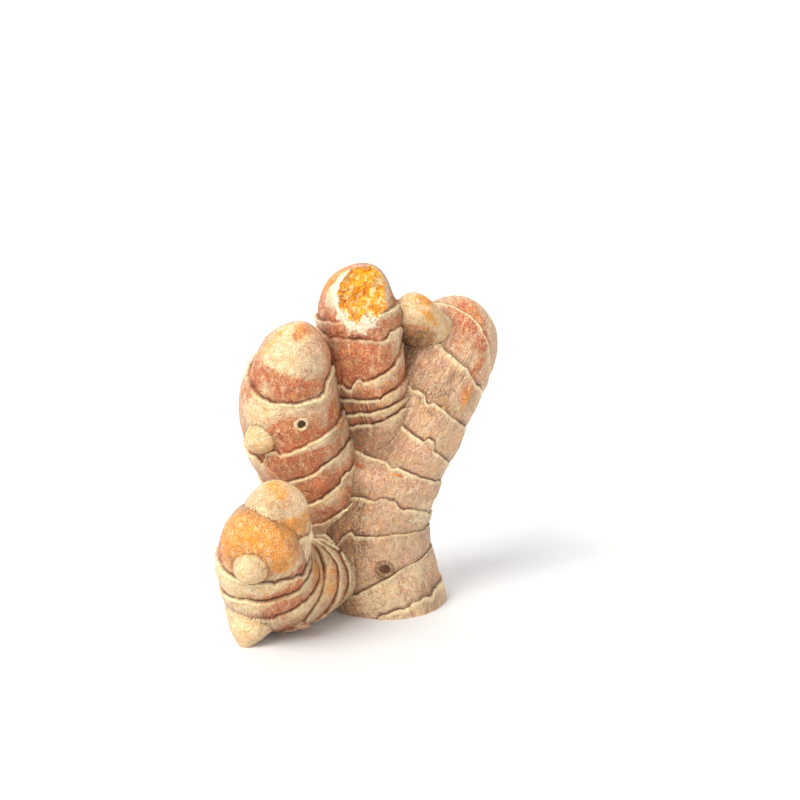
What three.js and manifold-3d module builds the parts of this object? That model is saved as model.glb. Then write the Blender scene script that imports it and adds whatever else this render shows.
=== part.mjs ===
// A hand of fresh turmeric root, grown as one piece. An old ringed trunk stands on its broken base and
// forks into stout fingers. The left finger is whole, the middle one is broken open at its tip, the low
// one bends forward round a fat bulb, and small buds sit on them.
// Millimetres, +Z up, -Y is the front. The origin is the middle of the flat base.

import * as THREE from 'three';
import { mergeVertices } from 'three/addons/utils/BufferGeometryUtils.js';
import Module from 'manifold-3d';

const wasm = await Module();
wasm.setup();

// Driving dimensions
const BASE_RADIUS = 13.5;
const TRUNK_RADIUS = 12.75;
const FINGER_RADIUS = 12;
const MIDDLE_RADIUS = 9.5;
const LOW_RADIUS = 11.25;
const BUD_RADIUS = 4;
const ROOT_DEPTH = 6;
const FLOOR_BLOCK = 160;

// How the skin lies: each leaf scale ends in a ragged edge, and the next one starts a step lower
const OLD_SKIN = { step: 0.4, bulge: 0.25, ragged: 0.6 };
const YOUNG_SKIN = { step: 0.75, bulge: 0.3, ragged: 0.4 };
const BUD_SKIN = { step: 0.4, bulge: 0.15, ragged: 0.25 };
const STEP_RUN = 0.22;
const NARROWEST_SCALE = 1.2;
const CAP_ROWS = 6;
const FRONT = new THREE.Vector3(0, -1, 0);
const TOP = new THREE.Vector3(0, 0, 1);

// Each limb is a list of points [x, y, z, radius] along its middle, from its root to its tip, and the edges
// of its leaf scales as [distance along the limb, lean to its front, lean to its right]
const LIMBS = {
  trunk: {
    skin: OLD_SKIN, sides: 32, tip: 12, face: FRONT, seed: 1,
    spine: [
      [0, 0, -ROOT_DEPTH, BASE_RADIUS], [0, 0, 0.5, BASE_RADIUS], [-3.5, 0, 11, TRUNK_RADIUS + 0.75],
      [-4.25, 0, 22, TRUNK_RADIUS + 1], [0, 0.5, 34, TRUNK_RADIUS], [6.5, 2.5, 45.5, TRUNK_RADIUS - 0.5],
      [11.5, 6.5, 55, TRUNK_RADIUS - 0.75], [15, 15, 60.5, 10.75], [16, 24, 63.5, 8],
    ],
    edges: [
      [7.5, -0.5, 0], [13.5, 1.5, 2], [25, 1.5, 0], [31.5, 3, 2], [42, 1, 0.5], [50, 0.5, -2],
      [58, 0.5, -2], [66, 0, -2], [74, -1, -4.5], [79, 1, -3],
    ],
  },
  leftFinger: {
    skin: YOUNG_SKIN, sides: 30, tip: 10, face: FRONT, seed: 2,
    spine: [
      [-5.5, -1, 14, 8.5], [-10, -2, 23.5, 9.25], [-17.5, -5.5, 34, FINGER_RADIUS - 0.75],
      [-22, -9, 46.5, FINGER_RADIUS], [-22, -13, 57.5, 10.25], [-20, -18, 66.5, 8.25], [-19, -20, 72, 7.5],
    ],
    edges: [[15.5, 0, 0], [22, 0, 0], [28.5, 0, 1], [37, 0, 2.5], [51.5, -1, 1.5]],
  },
  middleFinger: {
    skin: YOUNG_SKIN, sides: 26, tip: 11, face: FRONT, seed: 3,
    spine: [
      [-1.5, -2, 40, 8.75], [-5, -3.5, 53.5, MIDDLE_RADIUS], [-6.5, -5, 66, MIDDLE_RADIUS + 0.25],
      [-6.25, -6, 74.5, MIDDLE_RADIUS - 0.25], [-3.25, -7, 82.5, 7],
    ],
    edges: [[8, 0, 0], [12, -1.5, -0.5], [15.5, -1.5, 0], [20.5, -2, 1.5], [28, 0.5, -0.5], [33.5, 0.5, 3]],
  },
  lowFinger: {
    skin: YOUNG_SKIN, sides: 30, tip: 7, face: TOP, seed: 4,
    spine: [
      [-9, -2, 8, 6.5], [-14, -9, 10, 7.75], [-19.5, -16, 10.5, 9.75], [-24.5, -21.5, 12, LOW_RADIUS],
      [-27.5, -27, 16.5, LOW_RADIUS], [-28.5, -32, 22.5, LOW_RADIUS - 0.75], [-28, -36, 28.5, 9],
      [-27.5, -38.5, 33, 8],
    ],
    edges: [[11, 0, 0], [15.5, -2, -0.5], [20, -4, -2], [25.5, -5.5, -2], [33, -4, -1], [39, -4, 1.5]],
  },
  bulb: {
    skin: BUD_SKIN, sides: 22, tip: 7, face: FRONT, seed: 5,
    spine: [[-25.5, -28, 19.5, 7.5], [-25, -30, 27, 8], [-25, -31.5, 33.5, 7.5], [-25.5, -32.5, 39, 6.25]],
    edges: [[10.5, -0.5, -1]],
  },
  coneBud: {
    skin: BUD_SKIN, sides: 20, tip: 4, face: FRONT, seed: 6,
    spine: [[-27.5, -22, 12, 8.75], [-30, -26.5, 7.5, 7.5], [-31.5, -30, 3.5, 4.75], [-32.5, -32, -0.4, 2]],
    edges: [[5.5, 0, 0]],
  },
  lowBud: {
    skin: BUD_SKIN, sides: 16, tip: 4, face: TOP, seed: 7,
    spine: [[-29, -36, 22, BUD_RADIUS], [-30.5, -43, 22.5, BUD_RADIUS - 0.5], [-31, -46, 23, 2.25]],
    edges: [],
  },
  leftBud: {
    skin: BUD_SKIN, sides: 14, tip: 4, face: TOP, seed: 8,
    spine: [[-26.5, -15, 45.5, 3.5], [-29.75, -19.5, 45, 3.25], [-31, -21.5, 45, 2]],
    edges: [],
  },
  topBud: {
    skin: BUD_SKIN, sides: 18, tip: 4, face: TOP, seed: 9,
    spine: [[13, 8, 60, 5], [8.25, 2, 66, 5.5], [6.25, -4, 71.5, BUD_RADIUS + 0.25], [5, -7.5, 74.5, 2.75]],
    edges: [],
  },
  backBud: {
    skin: BUD_SKIN, sides: 18, tip: 4, face: TOP, seed: 10,
    spine: [[2, 8, 24, 5.5], [3, 15, 29, 5], [3.5, 18, 34, 3]],
    edges: [[7, 0.5, 0]],
  },
};

// Marks on the skin, placed on a limb by the distance along it and the degrees to the right of its face.
// A scar is a raised ring round a pit, and a nub is a low round bump
const SCARS = [
  { limb: 'trunk', along: 18.1, turn: 13, radius: 1.35, rim: 0.5, stretch: 1.35 },
  { limb: 'leftFinger', along: 44.5, turn: 17, radius: 1.3, rim: 0.5, stretch: 1 },
  { limb: 'trunk', along: 49, turn: 150, radius: 1.3, rim: 0.5, stretch: 1 },
  { limb: 'leftFinger', along: 40, turn: -150, radius: 1.3, rim: 0.5, stretch: 1 },
];
const NUBS = [
  { limb: 'leftFinger', along: 25, turn: 9, radius: 1.6 },
  { limb: 'trunk', along: 23.3, turn: -83, radius: 1.5 },
  { limb: 'middleFinger', along: 24, turn: 165, radius: 1.6 },
];
const SCAR_SIDES = 16;
const SCAR_RIM_SIDES = 6;
const PIT_DEPTH = 0.9;

// The break that opens the middle finger: a shallow uneven bowl bitten off its front, up to its top
const BREAK = { limb: 'middleFinger', along: 39, turn: -8, radius: 18, depth: 3, uneven: 0.6, detail: 7 };

// The torn end of dry skin that hangs under the low finger
const FLAP = {
  skin: BUD_SKIN, sides: 10, tip: 1.2, face: TOP, seed: 11,
  spine: [[-23, -26, 7, 3], [-20, -27.5, 4.2, 2], [-17.5, -28.5, 3.6, 0.9]],
  edges: [],
};

// The curve through one limb, measured along its length
class Limb {
  constructor({ spine, edges, tip, sides, face, skin, seed }) {
    const samples = 240;
    const middle = new THREE.CatmullRomCurve3(
      spine.map(([x, y, z]) => new THREE.Vector3(x, y, z)), false, 'catmullrom', 0.5);
    const girth = new THREE.CatmullRomCurve3(
      spine.map((point) => new THREE.Vector3(point[3], 0, 0)), false, 'catmullrom', 0.5);
    this.points = middle.getPoints(samples - 1);
    this.radii = girth.getPoints(samples - 1).map((point) => point.x);
    this.reach = [0];
    for (let i = 1; i < samples; i++) {
      this.reach.push(this.reach[i - 1] + this.points[i].distanceTo(this.points[i - 1]));
    }
    this.length = this.reach[samples - 1];
    this.frames = this.points.map((_, i) => {
      const ahead = this.points[Math.min(i + 1, samples - 1)];
      const behind = this.points[Math.max(i - 1, 0)];
      const along = ahead.clone().sub(behind).normalize();
      const front = face.clone().addScaledVector(along, -face.dot(along)).normalize();
      return { front, right: along.clone().cross(front) };
    });
    Object.assign(this, { edges, tip, sides, skin, seed });
  }

  // The point on the skin at a distance along the limb and an angle round it, raised by a height. The
  // radius closes to a dome over the tip, and the section is a little out of round
  point(along, angle, height = 0) {
    const s = Math.min(Math.max(along, 0), this.length);
    let i = 1;
    while (i < this.reach.length - 1 && this.reach[i] < s) i++;
    const t = (s - this.reach[i - 1]) / (this.reach[i] - this.reach[i - 1]);
    const into = Math.max((s - (this.length - this.tip)) / this.tip, 0);
    const dome = Math.sqrt(Math.max(1 - into * into, 0));
    const uneven = 1 + 0.03 * Math.cos(2 * angle + this.seed + 0.05 * s)
      + 0.02 * Math.cos(3 * angle - this.seed + 0.09 * s);
    const radius = (THREE.MathUtils.lerp(this.radii[i - 1], this.radii[i], t) + height) * dome * uneven;
    const front = this.frames[i - 1].front.clone().lerp(this.frames[i].front, t);
    const right = this.frames[i - 1].right.clone().lerp(this.frames[i].right, t);
    return this.points[i - 1].clone().lerp(this.points[i], t)
      .addScaledVector(front, radius * Math.cos(angle))
      .addScaledVector(right, radius * Math.sin(angle));
  }

  // Distances along the limb, at an angle, of its root, every scale edge in order, and its tip
  marks(angle) {
    const marks = [0];
    this.edges.forEach(([along, forward, rightward], k) => {
      const w = this.seed * 1.7 + k * 2.3;
      const wave = 0.5 * Math.sin(2 * angle + w) + 0.3 * Math.sin(3 * angle + 1.9 * w)
        + 0.2 * Math.sin(5 * angle + 3.1 * w);
      const s = along + forward * Math.cos(angle) + rightward * Math.sin(angle) + this.skin.ragged * wave;
      marks.push(Math.max(s, marks[k] + NARROWEST_SCALE));
    });
    marks.push(this.length);
    return marks;
  }

  // Rows of the skin from root to tip as [scale, share of the scale]. A scale starts a step lower than the
  // last one ended, and swells on its way to its own edge
  rows() {
    const rows = [[0, 0]];
    const last = this.edges.length;
    for (let scale = 0; scale < last; scale++) {
      if (scale > 0) rows.push([scale, 0]);
      rows.push([scale, 0.5], [scale, 1]);
    }
    for (let row = last > 0 ? 0 : 1; row < CAP_ROWS; row++) rows.push([last, row / CAP_ROWS]);
    return rows;
  }

  // How far the skin stands off the limb's plain radius, at a share of the way through a scale
  relief(scale, share) {
    const { step, bulge } = this.skin;
    if (scale === this.edges.length) return -step * Math.exp(-3 * share);
    return step * (share ** 1.2 - 1) + bulge * Math.sin(Math.PI * share);
  }

  // The skin's place for one row and angle. The rows of the tip's scale draw closer towards the tip
  rowPoint([scale, share], angle) {
    const marks = this.marks(angle);
    const start = marks[scale] + (scale > 0 ? STEP_RUN : 0);
    const way = scale === this.edges.length ? 1 - (1 - share) ** 2 : share;
    return this.point(start + way * (marks[scale + 1] - start), angle, this.relief(scale, share));
  }

  // The closed mesh of the limb: rings of points, a flat root and a domed tip
  geometry() {
    const rows = this.rows();
    const positions = [];
    for (const row of rows) {
      for (let side = 0; side < this.sides; side++) {
        positions.push(...this.rowPoint(row, (2 * Math.PI * side) / this.sides).toArray());
      }
    }
    const root = rows.length * this.sides;
    const end = root + 1;
    positions.push(...this.points[0].toArray(), ...this.point(this.length, 0).toArray());
    const faces = [];
    for (let side = 0; side < this.sides; side++) {
      const next = (side + 1) % this.sides;
      for (let row = 0; row < rows.length - 1; row++) {
        const here = row * this.sides;
        const above = here + this.sides;
        faces.push(here + side, here + next, above + next, here + side, above + next, above + side);
      }
      const top = root - this.sides;
      faces.push(root, next, side, top + side, top + next, end);
    }
    const geometry = new THREE.BufferGeometry();
    geometry.setAttribute('position', new THREE.Float32BufferAttribute(positions, 3));
    geometry.setIndex(faces);
    return geometry;
  }

  // The skin's point and its outward direction, at a distance along the limb and degrees from its face
  place(along, turn) {
    const angle = THREE.MathUtils.degToRad(turn);
    const marks = this.marks(angle);
    const scale = marks.findLastIndex((mark) => mark <= along);
    const share = (along - marks[scale]) / (marks[scale + 1] - marks[scale]);
    const height = this.relief(scale, share);
    const at = this.point(along, angle, height);
    const ahead = this.point(along + 0.5, angle, height).sub(at);
    const beside = this.point(along, angle + 0.05, height).sub(at);
    return { at, out: beside.cross(ahead).normalize() };
  }
}

// A solid for cutting and joining, from any closed geometry
function solid(geometry) {
  const bare = geometry.clone();
  bare.deleteAttribute('normal');
  bare.deleteAttribute('uv');
  const merged = mergeVertices(bare, 1e-5);
  return new wasm.Manifold(new wasm.Mesh({
    numProp: 3,
    vertProperties: new Float32Array(merged.attributes.position.array),
    triVerts: new Uint32Array(merged.index.array),
  }));
}

// Turns a geometry's Z axis to the skin's outward direction at a mark, and moves it there
function seat(geometry, { at, out }, depth = 0) {
  const turn = new THREE.Quaternion().setFromUnitVectors(TOP, out);
  const place = at.clone().addScaledVector(out, -depth);
  return geometry.applyMatrix4(new THREE.Matrix4().compose(place, turn, new THREE.Vector3(1, 1, 1)));
}

// The raised ring of a scar, an oval as wide as its stretch
function scarRim({ radius, rim, stretch }) {
  return new THREE.TorusGeometry(radius, rim, SCAR_RIM_SIDES, SCAR_SIDES).scale(stretch, 1, 1);
}

// The small pit inside a scar's ring
function scarPit({ radius, rim, stretch }) {
  const width = radius - 0.5 * rim;
  return new THREE.SphereGeometry(width, 10, 6).scale(stretch, 1, PIT_DEPTH / width);
}

// The uneven bowl of the break: a ball whose radius waves by the formula below, so the torn face is lumpy
function breakBall({ radius, uneven, detail }) {
  const ball = mergeVertices(bareSphere(radius, detail), 1e-4);
  const position = ball.attributes.position;
  const point = new THREE.Vector3();
  for (let i = 0; i < position.count; i++) {
    point.fromBufferAttribute(position, i);
    const { x, y, z } = point;
    const wave = Math.sin(0.9 * x + 1.3 * z) + Math.sin(1.1 * y - 0.7 * x + 2)
      + Math.sin(1.2 * z + 0.8 * y + 4);
    point.setLength(radius + (uneven / 2) * wave);
    position.setXYZ(i, point.x, point.y, point.z);
  }
  return ball;
}

// A ball of even triangles without normals and uv, so that its shared points can be merged
function bareSphere(radius, detail) {
  const ball = new THREE.IcosahedronGeometry(radius, detail);
  ball.deleteAttribute('normal');
  ball.deleteAttribute('uv');
  return ball;
}

// The whole hand: limbs grown together, their marks, the break, and the flat places it stands on
function growHand() {
  const limbs = Object.fromEntries(Object.entries(LIMBS).map(([name, sizes]) => [name, new Limb(sizes)]));
  const broken = limbs[BREAK.limb].place(BREAK.along, BREAK.turn);
  const bite = solid(seat(breakBall(BREAK), broken, BREAK.depth - BREAK.radius));
  let hand = solid(new Limb(FLAP).geometry());
  for (const [name, limb] of Object.entries(limbs)) {
    const whole = solid(limb.geometry());
    hand = hand.add(name === BREAK.limb ? whole.subtract(bite) : whole);
  }
  for (const nub of NUBS) {
    const place = limbs[nub.limb].place(nub.along, nub.turn);
    hand = hand.add(solid(seat(new THREE.SphereGeometry(nub.radius, 12, 8), place, nub.radius / 2)));
  }
  for (const scar of SCARS) {
    const place = limbs[scar.limb].place(scar.along, scar.turn);
    hand = hand.add(solid(seat(scarRim(scar), place)));
    hand = hand.subtract(solid(seat(scarPit(scar), place)));
  }
  const block = new THREE.BoxGeometry(FLOOR_BLOCK, FLOOR_BLOCK, FLOOR_BLOCK);
  return hand.subtract(solid(block.translate(0, 0, -FLOOR_BLOCK / 2)));
}

// The joined solid as a geometry that can be shown
function toGeometry(hand) {
  const { vertProperties, triVerts } = hand.getMesh();
  const geometry = new THREE.BufferGeometry();
  geometry.setAttribute('position', new THREE.Float32BufferAttribute(vertProperties, 3));
  geometry.setIndex(Array.from(triVerts));
  geometry.computeVertexNormals();
  return geometry;
}

const skin = new THREE.MeshStandardMaterial({ color: 0xc9a07a, roughness: 0.72, metalness: 0 });
const rhizome = new THREE.Mesh(toGeometry(growHand()), skin);
rhizome.name = 'rhizome';

const turmericRoot = new THREE.Group();
turmericRoot.add(rhizome);

export default turmericRoot;
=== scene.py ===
"""A hand of fresh turmeric root in a pale studio.

The hand is one grown piece: an old ringed trunk that stands on its broken base, a whole left
finger, a middle finger broken open at its tip, a low finger that bends forward round a fat bulb,
and small buds. Each limb is a surface of two parameters, the distance along the limb and the angle
round it. The limbs are joined into one skin, which carries soft colour masks on its vertices.
"""

import itertools
import logging
import math
from dataclasses import dataclass, field
from enum import Enum
from typing import Optional, Union

import bpy
import numpy as np
from mathutils import Euler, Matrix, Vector


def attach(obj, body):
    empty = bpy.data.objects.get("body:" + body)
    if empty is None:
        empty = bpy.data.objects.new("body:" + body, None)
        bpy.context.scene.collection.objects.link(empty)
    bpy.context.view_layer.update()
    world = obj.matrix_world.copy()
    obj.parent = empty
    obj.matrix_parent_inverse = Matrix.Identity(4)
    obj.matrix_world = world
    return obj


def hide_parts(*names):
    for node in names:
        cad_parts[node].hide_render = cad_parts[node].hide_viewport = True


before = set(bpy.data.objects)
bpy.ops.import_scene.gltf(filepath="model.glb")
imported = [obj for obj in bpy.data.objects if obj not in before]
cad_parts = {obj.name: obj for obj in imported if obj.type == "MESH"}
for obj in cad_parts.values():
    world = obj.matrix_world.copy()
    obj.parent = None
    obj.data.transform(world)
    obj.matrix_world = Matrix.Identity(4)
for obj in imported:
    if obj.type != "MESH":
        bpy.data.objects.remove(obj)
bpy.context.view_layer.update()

log = logging.getLogger("turmeric")

MM = 0.001
NODE = "rhizome"

# The skin's mesh, in millimetres: the size of its cells, the run of the step at a scale's edge, the
# narrowest scale, the trunk's depth below the cut, and a distance that stands for none
CELL = 0.51
STEP_RUN = 0.22
NARROWEST_SCALE = 1.2
ROOT_DEPTH = 6.0
FAR = 99.0

# Samples along a limb's spine, and the rows and columns of a scar's rim, its pit and the bite
SAMPLES = 240
RIM_GRID = (48, 14)
PIT_GRID = (14, 32)
BITE_GRID = (210, 260)

# How often masks are handed on from point to point over the new points, and the angle in degrees
# from which an edge shows as sharp
MEND_ROUNDS = 12
SHARP_FROM = 60

# Sizes of the unevenness of the skin, in millimetres
LUMP_SIZES = (6.5, 3.1)
FOLD_SIZE = 3.4
WRINKLE_SIZES = (1.15, 1.3)
WRINKLE_STRETCH = 0.22
TEAR_SIZES = (2.3, 1.0)
NOTCH_SIZE = 3.4
LIP_WIDTH = 0.55
BLOTCH_SIZES = (5.0, 2.2)

# Short names for the types that many functions share
Point = tuple[float, float, float, float]
Triple = tuple[float, float, float]
Colour = tuple[float, float, float, float]
Piece = bpy.types.Object
Socket = bpy.types.NodeSocket
Value = Union[bpy.types.NodeSocket, float, tuple]

# Places of the colour sockets on Blender's mix node, which has one set for each kind of value
COLOUR_INPUTS = (6, 7)
COLOUR_OUTPUT = 2
WHITE = (1.0, 1.0, 1.0, 1.0)

# Strength of the skin's shine and of its dusty edge light
SHINE = 0.45
DUST = 0.05


class Face(Enum):
    """The direction that the angles round a limb are counted from."""

    FRONT = (0.0, -1.0, 0.0)
    TOP = (0.0, 0.0, 1.0)


class Tone(Enum):
    """The colours that the skin leans to. Each value names the vertex mask that carries it."""

    PALE = "pale"
    WARM = "warm"
    GOLD = "gold"
    DULL = "dull"
    # Dark is partly real dark marks and partly painted shade in the folds and under the buds.
    DARK = "dark"


# The crease mask is painted shade in the folds where limbs meet; the dark and crack masks are
# partly painted shade.
MASKS = [tone.value for tone in Tone] + ["lip", "crack", "crease_shade", "flesh", "rind", "pit"]


@dataclass(frozen=True)
class Relief:
    """How the skin of a limb lies, in millimetres.

    Attributes:
        step: Drop from the edge of one ring-shaped scale to the start of the next.
        bulge: Swell in the middle of a scale.
        ragged: Sway of a scale's edge along the limb.
        torn: Depth of the fine tears in a scale's edge.
        lumps: Height of the broad unevenness.
        wrinkles: Height of the fine wrinkles along and round the limb.
        cream: Width of the cream band before an edge.
        blush: Width of the orange band past an edge.
        bleach: Strength of the cream band.
        dry: Strength of the bright dry line at the edge itself.
        split: Strength of the dark line under the edge, the gap's own dark with painted shade under
            the overhanging scale.
        glow: Strength of the orange band.
        fold_shade_and_marks: Strength of the painted shade in the folds where limbs meet.
    """

    step: float
    bulge: float
    ragged: float
    torn: float
    lumps: float
    wrinkles: float
    cream: float
    blush: float
    bleach: float
    dry: float
    split: float
    glow: float
    fold_shade_and_marks: float


class Age(Enum):
    """The kinds of skin on the hand."""

    OLD = Relief(0.4, 0.25, 0.6, 0.6, 0.5, 0.12, 0.7, 1.0, 0.4, 0.8, 0.8, 0.25, 1.0)
    YOUNG = Relief(0.75, 0.3, 0.4, 0.55, 0.45, 0.1, 1.6, 2.8, 0.75, 0.9, 0.8, 0.75, 0.8)
    BUD = Relief(0.4, 0.15, 0.25, 0.35, 0.3, 0.035, 1.2, 1.6, 0.5, 0.8, 0.5, 0.7, 0.3)


@dataclass(frozen=True)
class Patch:
    """A soft stain on a limb.

    Attributes:
        tone: The colour it leans to.
        along: Distance of its middle along the limb, in millimetres.
        turn: Angle of its middle round the limb, in degrees.
        length: Half its length along the limb, in millimetres.
        width: Half its width round the limb, in millimetres.
        amount: How strong it is in the middle.
    """

    tone: Tone
    along: float
    turn: float
    length: float
    width: float
    amount: float


@dataclass(frozen=True)
class Nub:
    """A low round bump on a limb.

    Attributes:
        along: Distance of its middle along the limb, in millimetres.
        turn: Angle of its middle round the limb, in degrees.
        radius: Where it has fallen to about a third.
        height: How far it stands up in the middle.
    """

    along: float
    turn: float
    radius: float
    height: float


@dataclass(frozen=True)
class Tab:
    """A stretch of a scale's edge that stands past the rest.

    Attributes:
        edge: Number of the edge on its limb, from the root.
        turn: Angle of its middle round the limb, in degrees.
        width: Half its width, in degrees.
        reach: How far it stands past the edge, in millimetres.
    """

    edge: int
    turn: float
    width: float
    reach: float


def noise(points: np.ndarray, size: float, seed: int = 0) -> np.ndarray:
    """Smooth random values between -1 and 1.

    Every corner of a cubic lattice gets a number hashed from its three whole coordinates. A point
    takes the mean of the eight corners round it, weighted by 3t^2 - 2t^3 along each axis.

    Args:
        points: Places, in millimetres, with the three coordinates last.
        size: Edge of a lattice cell, in millimetres.
        seed: Chooses another set of numbers.

    Returns:
        One value for each point.
    """
    place = np.asarray(points) / size
    base = np.floor(place).astype(np.int64)
    part = place - base
    ease = part * part * (3 - 2 * part)
    total = np.zeros(place.shape[:-1])
    for corner in itertools.product((0, 1), repeat=3):
        at = base + np.array(corner)
        mixed = at[..., 0] * 73856093 ^ at[..., 1] * 19349663 ^ at[..., 2] * 83492791
        mixed ^= seed * 15485863 + 7
        mixed = (mixed ^ (mixed >> 13)) * 1274126177
        mixed = (mixed ^ (mixed >> 16)) & 0xFFFF
        share = np.where(np.array(corner) == 1, ease, 1 - ease).prod(axis=-1)
        total += share * (mixed / 32767.5 - 1)
    return total


def spline(points: np.ndarray, count: int) -> np.ndarray:
    """A uniform Catmull-Rom curve through points of any dimension.

    Each stretch is the cubic that meets its two end points with slopes half the chord between their
    neighbours. The points past the two ends are the end points mirrored.

    Args:
        points: The points to pass through, one a row.
        count: How many samples to take.

    Returns:
        The samples, one a row.
    """
    padded = np.vstack([2 * points[0] - points[1], points, 2 * points[-1] - points[-2]])
    u = np.linspace(0, len(points) - 1, count)
    i = np.minimum(u.astype(int), len(points) - 2)
    t = (u - i)[:, None]
    start, end = padded[i + 1], padded[i + 2]
    leave, arrive = (end - padded[i]) / 2, (padded[i + 3] - start) / 2
    return (
        (2 * t**3 - 3 * t**2 + 1) * start
        + (t**3 - 2 * t**2 + t) * leave
        + (3 * t**2 - 2 * t**3) * end
        + (t**3 - t**2) * arrive
    )


def turns(count: int) -> np.ndarray:
    """Angles spaced evenly round one turn."""
    return np.linspace(0, 2 * math.pi, count, endpoint=False)


def smoothstep(low: float, high: float, value: np.ndarray) -> np.ndarray:
    """A smooth rise, 3t^2 - 2t^3.

    Args:
        low: Where it is 0.
        high: Where it is 1, on either side of low.
        value: Places to work it out at.

    Returns:
        The rise at every place.
    """
    t = np.clip((value - low) / (high - low), 0, 1)
    return t * t * (3 - 2 * t)


@dataclass
class Sheet:
    """A limb's skin as grids: rows run along the limb, columns round it, and the tip is one point.

    Attributes:
        along: Distance along the limb of every point, in millimetres.
        angle: Angle round the limb of every column.
        height: How far the skin stands off the limb's plain radius.
        masks: Colour masks by name.
    """

    along: np.ndarray
    angle: np.ndarray
    height: np.ndarray
    masks: dict[str, np.ndarray]


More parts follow.
